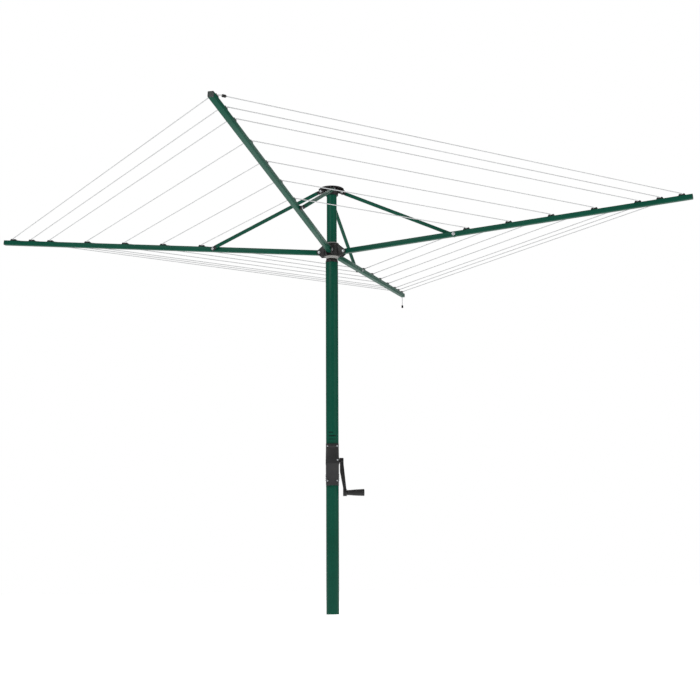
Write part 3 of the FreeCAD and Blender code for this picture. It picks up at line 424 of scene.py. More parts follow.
def printed_bars(f):
    """Mask of two plain bars and a row of dots on the mast's front, above the winder."""
    x, y, z = node(f.tree, "ShaderNodeSeparateXYZ", {0: f.place}).outputs
    front = sums(f.tree, "LESS_THAN", y, 0.0)

    def band(value, low, high):
        return sums(f.tree, "MULTIPLY", sums(f.tree, "GREATER_THAN", value, low),
                    sums(f.tree, "LESS_THAN", value, high))
    short = sums(f.tree, "MULTIPLY", band(z, 0.7155, 0.7195), band(x, -0.0145, 0.0030))
    wide = sums(f.tree, "MULTIPLY", band(z, 0.7010, 0.7060), band(x, -0.0150, 0.0160))
    pitch, radius = 0.0052, 0.0015
    step = sums(f.tree, "SUBTRACT", sums(f.tree, "PINGPONG", x, pitch / 2), pitch / 4)
    rise = sums(f.tree, "SUBTRACT", z, 0.6900)
    spread = sums(f.tree, "ADD", sums(f.tree, "MULTIPLY", step, step), sums(f.tree, "MULTIPLY", rise, rise))
    dots = sums(f.tree, "MULTIPLY", sums(f.tree, "LESS_THAN", spread, radius ** 2), band(x, -0.0145, 0.0145))
    marks = sums(f.tree, "MAXIMUM", sums(f.tree, "MAXIMUM", short, wide), dots)
    return sums(f.tree, "MULTIPLY", marks, front)


def moulded_plastic(name, shade, grain=850.0, gloss=0.42, dust=0.05, scratches=0.10):
    """Injection-moulded plastic with tool grain, handling marks and a little dust."""
    f = Finish(name)
    tint = f.tinted(shade, 0.14, 16.0)
    worn = f.use("scratches", Direction=(40.0, 90.0, 40.0), Coverage=scratches)
    skin = mixed(f.tree, worn["Mask"], tint["Colour"], [min(1.0, value * 2.5 + 0.03) for value in shade])
    dusty = f.use("dust", Surface_Normal=f.facing, Colour=skin, Dust=DUST, Amount=dust, Patch_Size=22.0)
    texture = f.use("grain", Grain=grain, Depth=1.0)
    rough = sums(f.tree, "ADD", ranged(f.tree, texture["Mask"], 0, 1, gloss - 0.05, gloss + 0.06),
                 sums(f.tree, "MULTIPLY", dusty["Mask"], 1.5))
    normal = f.bump(texture["Height"], 0.00008, 0.45)
    return f.set(Base_Color=dusty["Colour"], Roughness=rough, Normal=normal, Specular_IOR_Level=0.3)


def pale_nylon(name, shade):
    """Natural nylon: creamy, slightly cloudy, with turned lines."""
    f = Finish(name)
    tint = f.tinted(shade, 0.05, 30.0)
    marks = f.use("marks", Across=(12.0, 12.0, 700.0))
    dusty = f.use("dust", Surface_Normal=f.facing, Colour=tint["Colour"], Dust=srgb(150, 144, 130),
                  Amount=0.16, Patch_Size=30.0)
    rough = ranged(f.tree, marks["Mask"], 0, 1, 0.36, 0.46)
    return f.set(Base_Color=dusty["Colour"], Roughness=rough, Normal=f.bump(marks["Height"], 0.00005, 0.4),
                 Subsurface_Weight=0.12, Subsurface_Radius=(0.004, 0.004, 0.003))


def zinc_plate(name, shade):
    """Bright zinc with faint spangle and a dulled skin."""
    f = Finish(name)
    spangle = node(f.tree, "ShaderNodeTexVoronoi", {"Vector": f.place, "Scale": 900.0})
    grey = node(f.tree, "ShaderNodeSeparateColor", {0: spangle.outputs["Color"]}).outputs[0]
    tint = f.tinted(shade, 0.06, 60.0)
    skin = mixed(f.tree, ranged(f.tree, grey, 0, 1, 0.0, 0.25), tint["Colour"],
                 [value * 0.75 for value in shade])
    worn = f.use("scratches", Direction=(120.0, 120.0, 120.0), Coverage=0.35)
    rough = sums(f.tree, "ADD", ranged(f.tree, grey, 0, 1, 0.34, 0.44),
                 sums(f.tree, "MULTIPLY", worn["Mask"], 0.2))
    return f.set(Base_Color=skin, Roughness=rough, Metallic=0.85, Normal=f.bump(worn["Mask"], 0.00003, 0.5))


def machined_steel(name, shade, across):
    """Machined or drawn steel with a thin film of grease."""
    f = Finish(name)
    tint = f.tinted(shade, 0.10, 40.0)
    marks = f.use("marks", Across=across)
    film = f.use("dust", Surface_Normal=f.facing, Colour=tint["Colour"], Dust=srgb(74, 62, 44), Amount=0.45,
                 Patch_Size=45.0)
    rough = sums(f.tree, "ADD", ranged(f.tree, marks["Mask"], 0, 1, 0.20, 0.38),
                 sums(f.tree, "MULTIPLY", film["Mask"], 0.3))
    return f.set(Base_Color=film["Colour"], Roughness=rough, Metallic=1.0,
                 Normal=f.bump(marks["Height"], 0.00005, 0.5))


def covered_line(name, shade):
    """Plastic-covered line: a soft twist pressed in the cover, with painted shade in its grooves."""
    f = Finish(name)
    tint = f.tinted(shade, 0.07, 9.0)
    twist = node(f.tree, "ShaderNodeTexWave", {"Vector": f.place, "Scale": 95.0, "Distortion": 0.4,
                                               "Detail": 1.0}, bands_direction="DIAGONAL")
    # painted shade: the colour darkens where the twist's bump is lowest, in its grooves
    twist_with_painted_shade = mixed(f.tree, ranged(f.tree, twist.outputs["Fac"], 0.0, 0.35, 0.22, 0.0), tint["Colour"],
                   [value * 0.6 for value in shade])
    dusty = f.use("dust", Surface_Normal=f.facing, Colour=twist_with_painted_shade, Dust=srgb(150, 146, 138), Amount=0.15,
                  Patch_Size=20.0)
    grain = f.use("grain", Grain=1600.0, Depth=1.0)
    normal = f.bump(twist.outputs["Fac"], 0.00025, 0.5)
    normal = f.bump(grain["Height"], 0.00003, 0.4, normal)
    return f.set(Base_Color=dusty["Colour"], Roughness=ranged(f.tree, tint["Mask"], 0, 1, 0.38, 0.5),
                 Normal=normal)


def finish(name):
    """A material by its plain name, made when first asked for."""
    if name in finishes:
        return finishes[name]
    c = colours()
    recipes = {
        "Green powder coat": lambda: powder_coat(name, c.paint),
        "Printed mast coat": lambda: powder_coat(name, c.paint, c.print_ink),
        "Black moulding": lambda: moulded_plastic(name, c.plastic),
        "Clip moulding": lambda: moulded_plastic(name, c.plastic, 1400.0, 0.48, 0.06),
        "Casing moulding": lambda: moulded_plastic(name, c.casing, 620.0, 0.38, 0.05, 0.12),
        "Grip moulding": lambda: moulded_plastic(name, c.plastic, 1100.0, 0.36, 0.05, 0.2),
        "Grey tip moulding": lambda: moulded_plastic(name, c.tip, 1000.0, 0.46, 0.06),
        "Pale nylon": lambda: pale_nylon(name, c.nylon),
        "Dark nylon": lambda: moulded_plastic(name, c.plastic, 1800.0, 0.3, 0.05),
        "Zinc plate": lambda: zinc_plate(name, c.zinc),
        "Turned steel": lambda: machined_steel(name, c.steel, (25.0, 25.0, 900.0)),
        "Gear steel": lambda: machined_steel(name, c.steel, (400.0, 400.0, 120.0)),
        "Drawn steel": lambda: machined_steel(name, c.steel, (900.0, 60.0, 60.0)),
        "Covered line": lambda: covered_line(name, c.line),
    }
    finishes[name] = recipes[name]()
    return finishes[name]


# ---- mesh helpers ----------------------------------------------------------------------------------
def towards(origin, direction):
    """Matrix that puts local Z along a direction from an origin."""
    return Matrix.Translation(Vector(origin)) @ Vector(direction).to_track_quat("Z", "Y").to_matrix().to_4x4()


def about_mast(arm):
    """Turn from +X to an arm's direction."""
    return Matrix.Rotation(FIRST_AZIMUTH + (arm - 1) * math.pi / 2, 4, "Z")


def arm_place(arm):
    """Arm coordinates (out, sideways, up) to the row frame."""
    slope = Matrix.Rotation(-sizes().arm_slope, 4, "Y")
    return about_mast(arm) @ Matrix.Translation((PIVOT_RADIUS, 0, PIVOT_Z)) @ slope


def strut_reach():
    """Length and downward slope of a strut."""
    s = sizes()
    run = PIVOT_RADIUS + s.strut_joint * math.cos(s.arm_slope) - CAP_PIVOT_RADIUS
    fall = CAP_PIVOT_Z - PIVOT_Z - s.strut_joint * math.sin(s.arm_slope)
    return math.hypot(run, fall), math.atan2(fall, run)


def strut_place(arm):
    """Strut coordinates, along +X from the top pivot, to the row frame."""
    turn = Matrix.Rotation(strut_reach()[1], 4, "Y")
    return about_mast(arm) @ Matrix.Translation((CAP_PIVOT_RADIUS, 0, CAP_PIVOT_Z)) @ turn


def eased(outline, radius, steps=3):
    """Round the corners of a closed outline; points on the axis stay."""
    soft = []
    count = len(outline)
    for index, corner in enumerate(outline):
        corner = Vector(corner)
        back = Vector(outline[index - 1]) - corner
        ahead = Vector(outline[(index + 1) % count]) - corner
        turn = math.pi - back.angle(ahead)
        room = min(back.length, ahead.length) * 0.45
        if corner.x < 1e-7 or turn < 0.15:
            soft.append(corner)
            continue
        setback = min(radius * math.tan(turn / 2), room)
        entry, leave = corner + back.normalized() * setback, corner + ahead.normalized() * setback
        for step in range(steps + 1):
            share = step / steps
            soft.append(entry.lerp(corner, share).lerp(corner.lerp(leave, share), share))
    return soft


def dome(radius, height, base=0.0, steps=5):
    """Outline points of a domed head, from its rim to its pole."""
    lip = height * 0.25
    points = [(radius, base), (radius, base + lip)]
    for step in range(1, steps):
        angle = math.pi / 2 * step / steps
        points.append((radius * math.cos(angle), base + lip + (height - lip) * math.sin(angle)))
    return points + [(0, base + height)]


def add_lathe(bm, outline, place=None, steps=48, wave=None):
    """Turn a closed (radius, height) outline about local Z; wave(angle, radius, height) varies the radius."""
    place = place or Matrix.Identity(4)
    rings = []
    for radius, height in outline:
        if radius < 1e-7:
            rings.append([bm.verts.new(place @ Vector((0, 0, height)))])
            continue
        ring = []
        for step in range(steps):
            angle = 2 * math.pi * step / steps
            r = wave(angle, radius, height) if wave else radius
            ring.append(bm.verts.new(place @ Vector((r * math.cos(angle), r * math.sin(angle), height))))
        rings.append(ring)
    for index, ring in enumerate(rings):
        following = rings[(index + 1) % len(rings)]
        if len(ring) == 1 and len(following) == 1:
            continue
        for step in range(steps):
            a, b = ring[step % len(ring)], ring[(step + 1) % len(ring)]
            c, d = following[(step + 1) % len(following)], following[step % len(following)]
            bm.faces.new([v for n, v in enumerate((a, b, c, d)) if v not in (a, b, c, d)[:n]])


def add_loft(bm, loops, place=None, hollow=False):
    """Skin equal closed loops in order; hollow joins the last loop to the first."""
    place = place or Matrix.Identity(4)
    rows = [[bm.verts.new(place @ Vector(point)) for point in loop] for loop in loops]
    pairs = list(zip(rows, rows[1:])) + ([(rows[-1], rows[0])] if hollow else [])
    for lower, upper in pairs:
        for index in range(len(lower)):
            after = (index + 1) % len(lower)
            bm.faces.new((lower[index], lower[after], upper[after], upper[index]))
    if not hollow:
        bm.faces.new(rows[0])
        bm.faces.new(rows[-1])


def add_plate(bm, outline, low, high, place=None):
    """Extrude a closed (x, z) outline along local Y."""
    add_loft(bm, [[(x, y, z) for x, z in outline] for y in (low, high)], place)


def add_box(bm, low, high, place=None):
    (x0, y0, z0), (x1, y1, z1) = low, high
    add_loft(bm, [[(x0, y0, z), (x1, y0, z), (x1, y1, z), (x0, y1, z)] for z in (z0, z1)], place)


def add_coil(bm, radius, wire, start, end, turns, place, sides=8, steps=20):
    """Round wire wound about local Z."""
    rows = []
    count = int(turns * steps)
    for step in range(count + 1):
        share = step / count
        angle = 2 * math.pi * turns * share
        across = Vector((math.cos(angle), math.sin(angle), 0))
        middle = across * radius + UP * (start + (end - start) * share)
        rows.append([middle + across * wire * math.cos(a) + UP * wire * math.sin(a)
                     for a in (2 * math.pi * side / sides for side in range(sides))])
    add_loft(bm, rows, place)


def square_loop(half, corner, x, steps=4):
    """Rounded square round the X axis."""
    points = []
    for quarter in range(4):
        for step in range(steps + 1):
            angle = math.pi / 2 * (quarter + step / steps)
            sign = Vector((math.cos(math.pi / 4 + quarter * math.pi / 2),
                           math.sin(math.pi / 4 + quarter * math.pi / 2))) * math.sqrt(2)
            y = sign.x * (half - corner) + corner * math.cos(angle)
            z = sign.y * (half - corner) + corner * math.sin(angle)
            points.append((x, y, z))
    return points


def arc(centre, radius, start, end, steps=8):
    """Points of an arc in a plate's (x, z) plane, angles in degrees."""
    return [(centre[0] + radius * math.cos(math.radians(start + (end - start) * n / steps)),
             centre[1] + radius * math.sin(math.radians(start + (end - start) * n / steps)))
            for n in range(steps + 1)]


def plain(obj):
    """Replace an object's mesh by its evaluated one and drop its modifiers."""
    graph = bpy.context.evaluated_depsgraph_get()
    mesh = bpy.data.meshes.new_from_object(obj.evaluated_get(graph))
    obj.modifiers.clear()
    obj.data = mesh
    mesh.name = obj.name
    return obj


def settle(obj, material, body, stands_for):
    """Give a finished object its material and body, and hide the CAD nodes it stands for."""
    obj.data.materials.clear()
    obj.data.materials.append(finish(material))
    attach(obj, body)
    if stands_for:
        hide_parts(*stands_for)
    return obj


def make(name, bm, material, body, stands_for=(), edge=0.0, crease=40.0):
    """Finish a piece: doubles merged, faces outwards, edges eased, smooth with crisp creases."""
    bmesh.ops.remove_doubles(bm, verts=bm.verts, dist=1e-7)
    bmesh.ops.recalc_face_normals(bm, faces=bm.faces)
    mesh = bpy.data.meshes.new(name)
    bm.to_mesh(mesh)
    bm.free()
    obj = bpy.data.objects.new(name, mesh)
    bpy.context.scene.collection.objects.link(obj)
    if edge:
        bevel = obj.modifiers.new("Eased edges", "BEVEL")
        bevel.width = edge
        bevel.segments = 2
        bevel.limit_method = "ANGLE"
        bevel.angle_limit = math.radians(crease)
        plain(obj)
    obj.data.shade_smooth()
    obj.data.set_sharp_from_angle(angle=math.radians(crease))
    return settle(obj, material, body, stands_for)


def repaint(material, *nodes):
    """Give carried CAD nodes a procedural material."""
    for name in nodes:
        mesh = frame["nodes"][name].data
        if len(mesh.materials):
            for index in range(len(mesh.materials)):
                mesh.materials[index] = finish(material)
        else:
            mesh.materials.append(finish(material))


# ---- geometry trees --------------------------------------------------------------------------------
def geometry_tree(name, inputs):
    """Empty geometry tree with named inputs; returns it, its input sockets and its output node."""
    tree = bpy.data.node_groups.new(name, "GeometryNodeTree")
    tree.interface.new_socket("Geometry", in_out="INPUT", socket_type="NodeSocketGeometry")
    for label, kind, default in inputs:
        socket = tree.interface.new_socket(label, in_out="INPUT", socket_type=kind)
        if default is not None:
            socket.default_value = default
    tree.interface.new_socket("Geometry", in_out="OUTPUT", socket_type="NodeSocketGeometry")
    start = tree.nodes.new("NodeGroupInput")
    return tree, start.outputs, tree.nodes.new("NodeGroupOutput")


def close_tree(tree, given, out, geometry):
    """Realize Instances, shade smooth and Set Material at a tree's end."""
    real = node(tree, "GeometryNodeRealizeInstances", {0: geometry})
    smooth = node(tree, "GeometryNodeSetShadeSmooth", {0: real.outputs[0]})
    painted = node(tree, "GeometryNodeSetMaterial", {0: smooth.outputs[0], "Material": given["Finish"]})
    tree.links.new(painted.outputs[0], out.inputs[0])


def pieces_on_points():
    """A template on each point: local Z along 'facing', local X along 'along', with a seeded twist."""
    tree, given, out = geometry_tree("Pieces on Points", [
        ("Template", "NodeSocketObject", None), ("Twist", "NodeSocketFloat", 0.0),
        ("Seed", "NodeSocketInt", 7), ("Finish", "NodeSocketMaterial", None)])
    facing = node(tree, "GeometryNodeInputNamedAttribute", {"Name": "facing"}, data_type="FLOAT_VECTOR")
    along = node(tree, "GeometryNodeInputNamedAttribute", {"Name": "along"}, data_type="FLOAT_VECTOR")
    upright = node(tree, "FunctionNodeAlignRotationToVector", {"Vector": facing.outputs[0]}, axis="Z")
    turned = node(tree, "FunctionNodeAlignRotationToVector",
                  {"Rotation": upright.outputs[0], "Vector": along.outputs[0]}, axis="X", pivot_axis="Z")
    lowest = node(tree, "ShaderNodeMath", {0: given["Twist"], 1: -1.0}, operation="MULTIPLY")
    chance = node(tree, "FunctionNodeRandomValue", {2: lowest.outputs[0], 3: given["Twist"],
                                                         "Seed": given["Seed"]}, data_type="FLOAT")
    spin = node(tree, "FunctionNodeAxisAngleToRotation", {"Axis": (0, 0, 1), "Angle": chance.outputs[1]})
    twisted = node(tree, "FunctionNodeRotateRotation", {0: turned.outputs[0], 1: spin.outputs[0]},
                   rotation_space="LOCAL")
    template = node(tree, "GeometryNodeObjectInfo", {"Object": given["Template"]})
    placed = node(tree, "GeometryNodeInstanceOnPoints", {"Points": given["Geometry"],
                                                         "Instance": template.outputs["Geometry"],
                                                         "Rotation": twisted.outputs[0]})
    close_tree(tree, given, out, placed.outputs[0])
    return tree


def ring_of_ribs():
    """Straight ribs that stand round the mast's axis."""
    tree, given, out = geometry_tree("Ring of Ribs", [
        ("Count", "NodeSocketInt", 8), ("Radius", "NodeSocketFloat", 0.03), ("Rise", "NodeSocketFloat", 0.0),
        ("Rib Size", "NodeSocketVector", (0.01, 0.002, 0.002)), ("Start", "NodeSocketFloat", 0.0),
        ("Tilt", "NodeSocketFloat", 0.0), ("Finish", "NodeSocketMaterial", None)])
    circle = node(tree, "GeometryNodeMeshCircle", {"Vertices": given["Count"], "Radius": given["Radius"]})
    place = node(tree, "GeometryNodeInputPosition")
    outward = node(tree, "FunctionNodeAlignRotationToVector", {"Vector": place.outputs[0]}, axis="X",
                   pivot_axis="Z")
    lean = node(tree, "FunctionNodeAxisAngleToRotation", {"Axis": (0, 1, 0), "Angle": given["Tilt"]})
    leaned = node(tree, "FunctionNodeRotateRotation", {0: outward.outputs[0], 1: lean.outputs[0]},
                  rotation_space="LOCAL")
    rib = node(tree, "GeometryNodeMeshCube", {"Size": given["Rib Size"]})
    placed = node(tree, "GeometryNodeInstanceOnPoints", {
        "Points": circle.outputs[0], "Instance": rib.outputs[0], "Rotation": leaned.outputs[0]})
    lift = node(tree, "ShaderNodeCombineXYZ", {2: given["Rise"]})
    turn = node(tree, "ShaderNodeCombineXYZ", {2: given["Start"]})
    moved = node(tree, "GeometryNodeTransform", {
        "Geometry": placed.outputs[0], "Translation": lift.outputs[0], "Rotation": turn.outputs[0]})
    close_tree(tree, given, out, moved.outputs[0])
    return tree


def line_on_clips():
    """A round line swept along a path with rounded turns."""
    tree, given, out = geometry_tree("Line on Clips", [
        ("Radius", "NodeSocketFloat", 0.0017), ("Bend", "NodeSocketFloat", 0.009),
        ("Sides", "NodeSocketInt", 10), ("Turn Steps", "NodeSocketInt", 6),
        ("Finish", "NodeSocketMaterial", None)])
    path = node(tree, "GeometryNodeMeshToCurve", {0: given["Geometry"]})
    bent = node(tree, "GeometryNodeFilletCurve", {
        "Curve": path.outputs[0], "Radius": given["Bend"], "Count": given["Turn Steps"],
        "Limit Radius": True}, mode="POLY")
    section = node(tree, "GeometryNodeCurvePrimitiveCircle", {"Resolution": given["Sides"],
                                                              "Radius": given["Radius"]})
    swept = node(tree, "GeometryNodeCurveToMesh", {
        "Curve": bent.outputs[0], "Profile Curve": section.outputs[0], "Fill Caps": True})
    close_tree(tree, given, out, swept.outputs[0])
    return tree


TREES = {"Pieces on Points": pieces_on_points, "Ring of Ribs": ring_of_ribs, "Line on Clips": line_on_clips}


def grow(tree_name, points=((0, 0, 0),), edges=(), vectors=None, **values):
    """Run a geometry tree on a few points and return the plain mesh it makes."""
    tree = bpy.data.node_groups.get(tree_name) or TREES[tree_name]()
    mesh = bpy.data.meshes.new("seed points")
    mesh.from_pydata([tuple(point) for point in points], list(edges), [])
    for name, directions in (vectors or {}).items():
        attribute = mesh.attributes.new(name, "FLOAT_VECTOR", "POINT")
        attribute.data.foreach_set("vector", [value for direction in directions for value in direction])
    obj = bpy.data.objects.new("seed", mesh)
    bpy.context.scene.collection.objects.link(obj)
    modifier = obj.modifiers.new("Tree", "NODES")
    modifier.node_group = tree
    for item in tree.interface.items_tree:
        key = item.name.replace(" ", "_")
        if item.in_out == "INPUT" and key in values:
            modifier[item.identifier] = values[key]
    graph = bpy.context.evaluated_depsgraph_get()
    grown = bpy.data.meshes.new_from_object(obj.evaluated_get(graph))
    bpy.data.objects.remove(obj)
    if not len(grown.polygons):
        raise RuntimeError(f"{tree_name} made no faces")
    return grown


def add_grown(bm, tree_name, **values):
    """Add what a geometry tree makes to a piece."""
    grown = grow(tree_name, **values)
    bm.from_mesh(grown)
    bpy.data.meshes.remove(grown)


def template(name, bm):
    """Temporary object that a tree copies."""
    bmesh.ops.recalc_face_normals(bm, faces=bm.faces)
    mesh = bpy.data.meshes.new(name)
    bm.to_mesh(mesh)
    bm.free()
    obj = bpy.data.objects.new(name, mesh)
    bpy.context.scene.collection.objects.link(obj)
    return obj


def on_points(name, model, points, facing, along, material, body, stands_for=(), twist=0.0, seed=7,
              crease=40.0):
    """Finished piece made of copies of a template, all on one body."""
    bm = bmesh.new()
    add_grown(bm, "Pieces on Points", points=points, vectors={"facing": facing, "along": along},
              Template=model, Twist=twist, Seed=seed, Finish=finish(material))
    return make(name, bm, material, body, stands_for, crease=crease)


def add_headed_pin(bm, shank, head, height, low, high, place=None):
    """Rivet along local Z with a domed head beyond each end."""
    lower = [(r, -h) for r, h in reversed(dome(head, height, -low))]
    outline = lower + [(shank, low), (shank, high)] + dome(head, height, high)
    add_lathe(bm, outline, place, 28)


def rivet_ring(name, radii, ends, pivot, body, node_name, seed):
    """One rivet through each of the four clevises round the mast; radii are shank and head."""
    pin = bmesh.new()
    add_headed_pin(pin, *radii, sizes().bolt_head, *ends)
    model = template(f"{name} model", pin)
    turns = [about_mast(arm) for arm in ARMS]
    on_points(name, model, [turn @ Vector((pivot[0], 0, pivot[1])) for turn in turns],
              [turn @ Vector((0, 1, 0)) for turn in turns], [UP] * len(ARMS), "Zinc plate", body,
              (node_name,), twist=math.pi, seed=seed)
    bpy.data.objects.remove(model)


# ---- operators -------------------------------------------------------------------------------------
class BuildStep(bpy.types.Operator):
    """Base of the build steps."""
    bl_options = {"REGISTER", "UNDO"}


class CLOTHESLINE_OT_stage(BuildStep):
    """Set the camera, floor and soft studio light"""
    bl_idname = "clothesline.stage"
    bl_label = "Stage"

    def execute(self, context):
        s = bpy.context.scene.clothesline_stage
        scene = bpy.context.scene
        camera = bpy.data.cameras.new("camera")
        camera.lens = s.camera_lens
        camera.sensor_width = 36
        camera.shift_x, camera.shift_y = s.camera_shift
        camera.clip_end = 200
        view = bpy.data.objects.new("camera", camera)
        turn = (Matrix.Rotation(-s.camera_pan, 4, "Z") @ Matrix.Rotation(math.pi / 2 + s.camera_pitch, 4, "X")
                @ Matrix.Rotation(s.camera_roll, 4, "Z"))
        view.matrix_world = Matrix.Translation(s.camera_place) @ turn
        scene.collection.objects.link(view)
        scene.camera = view
        self.floor(s)
        self.light("key", s.key_power, (-3.2, -4.6, 4.4), (0, 0, 1.1), 2.6)
        self.light("fill", s.fill_power, (4.6, -3.4, 2.2), (0, 0, 1.0), 2.2)
        self.light("back", s.fill_power * 0.8, (1.0, 4.8, 4.0), (0, 0, 1.2), 3.0)
        self.world(s)
        scene.view_settings.view_transform = "Standard"
        return {"FINISHED"}

    def floor(self, s):
        half = s.floor_size / 2
        mesh = bpy.data.meshes.new("floor")
        mesh.from_pydata([(-half, -half, 0), (half, -half, 0), (half, half, 0), (-half, half, 0)], [],
                         [(0, 1, 2, 3)])
        floor = bpy.data.objects.new("floor", mesh)
        bpy.context.scene.collection.objects.link(floor)
        f = Finish("Studio floor")
        tint = f.tinted(colours().floor, 0.015, 0.8)
        grain = f.use("grain", Grain=300.0, Depth=1.0)
        mesh.materials.append(f.set(Base_Color=tint["Colour"], Roughness=0.7,
                                    Emission_Color=tint["Colour"], Emission_Strength=0.8,
                                    Normal=f.bump(grain["Height"], 0.0001, 0.2)))

    def light(self, name, power, place, aim, size):
        lamp = bpy.data.lights.new(name, "AREA")
        lamp.energy = power
        lamp.size = size
        obj = bpy.data.objects.new(name, lamp)
        obj.matrix_world = towards(place, Vector(place) - Vector(aim))
        obj.visible_camera = False
        bpy.context.scene.collection.objects.link(obj)

    def world(self, s):
        world = bpy.data.worlds.new("Studio")
        world.use_nodes = True
        tree = world.node_tree
        tree.nodes.clear()
        seen = node(tree, "ShaderNodeLightPath").outputs["Is Camera Ray"]
        white = node(tree, "ShaderNodeBackground", {"Color": (1, 1, 1, 1), "Strength": 1.0})
        room = node(tree, "ShaderNodeBackground", {"Color": (1, 1, 1, 1), "Strength": s.surround})
        both = node(tree, "ShaderNodeMixShader", {0: seen, 1: room.outputs[0], 2: white.outputs[0]})
        node(tree, "ShaderNodeOutputWorld", {"Surface": both.outputs[0]})
        bpy.context.scene.world = world


class CLOTHESLINE_OT_hanging_end(BuildStep):
    """Hang the line's spare end and its toggle under the rear arm's tip"""
    bl_idname = "clothesline.hanging_end"
    bl_label = "Hanging line end"

    def execute(self, context):
        bead = bmesh.new()
        middle = (TOGGLE_LOW + TOGGLE_HIGH) / 2
        tall = TOGGLE_HIGH.z - TOGGLE_LOW.z
        r = (TOGGLE_HIGH.x - TOGGLE_LOW.x) / 2
        outline = eased([(0, 0), (r * 0.62, 0), (r, tall * 0.22), (r, tall * 0.55), (r * 0.86, tall * 0.66),
                         (r * 0.86, tall * 0.74), (r, tall * 0.84), (r * 0.7, tall), (0, tall)], 0.0008)
        add_lathe(bead, outline, Matrix.Translation((middle.x, middle.y, TOGGLE_LOW.z)), 28)
        toggle = make("hanging_toggle", bead, "Black moulding", "arm_2", ("tail_toggle",))
        top = Vector(((TAIL_LOW.x + TAIL_HIGH.x) / 2, (TAIL_LOW.y + TAIL_HIGH.y) / 2, TAIL_HIGH.z))
        end = Vector((top.x, top.y, TAIL_LOW.z))
        curve = bpy.data.curves.new("hanging_line_end", "CURVE")
        curve.dimensions = "3D"
        curve.bevel_depth = sizes().line_radius
        curve.bevel_resolution = 3
        curve.use_fill_caps = True
        spline = curve.splines.new("NURBS")
        route = [top, top.lerp(end, 0.35), top.lerp(end, 0.7), end]
        spline.points.add(len(route) - 1)
        for point, place in zip(spline.points, route):
            point.co = (*place, 1)
        spline.order_u = 3
        spline.use_endpoint_u = True
        spline.resolution_u = 6
        tail = bpy.data.objects.new("hanging_line_end", curve)
        bpy.context.scene.collection.objects.link(tail)
        settle(tail, "Covered line", "arm_2", ("line_tail",))
        return {"FINISHED"}


class CLOTHESLINE_OT_lower_mast(BuildStep):
    """Build the lower mast tube and the bush in its top edge"""
    bl_idname = "clothesline.lower_mast"
    bl_label = "Lower mast"

    def execute(self, context):
        r, top = MAST_HIGH.x, MAST_HIGH.z
        bore = r - MAST_WALL
        tube = bmesh.new()
        outline = [(bore, 0.001), (bore + 0.0004, 0), (r - 0.0004, 0), (r, 0.001)]
        outline += [(r, z) for z in (0.25, 0.5, 0.75, 1.0, 1.25)]
        outline += [(r, top - 0.0012), (r - 0.0003, top - 0.0004), (r - 0.0009, top), (bore + 0.0003, top),
                    (bore, top - 0.0005)]
        add_lathe(tube, outline, steps=72)
        make("lower_mast_tube", tube, "Printed mast coat", "mast", ("outer_mast",))
        bush = bmesh.new()
        shoulder = BUSH_HIGH.x
        inner = INNER_HIGH.x + BUSH_PLAY
        outline = eased([(inner, BUSH_LOW.z), (bore - TUBE_PLAY, BUSH_LOW.z), (bore - TUBE_PLAY, top),
                         (shoulder, top), (shoulder, top + 0.0026), (shoulder - 0.0006, top + 0.0030),
                         (shoulder - 0.0006, top + 0.0040), (shoulder - 0.0002, top + 0.0044),
                         (shoulder - 0.0004, top + 0.0060), (inner + 0.0016, BUSH_HIGH.z),
                         (inner, BUSH_HIGH.z)],
                        0.0004, 2)
        add_lathe(bush, outline, steps=72)
        make("mast_top_bush", bush, "Dark nylon", "mast", ("top_bush",))
        return {"FINISHED"}


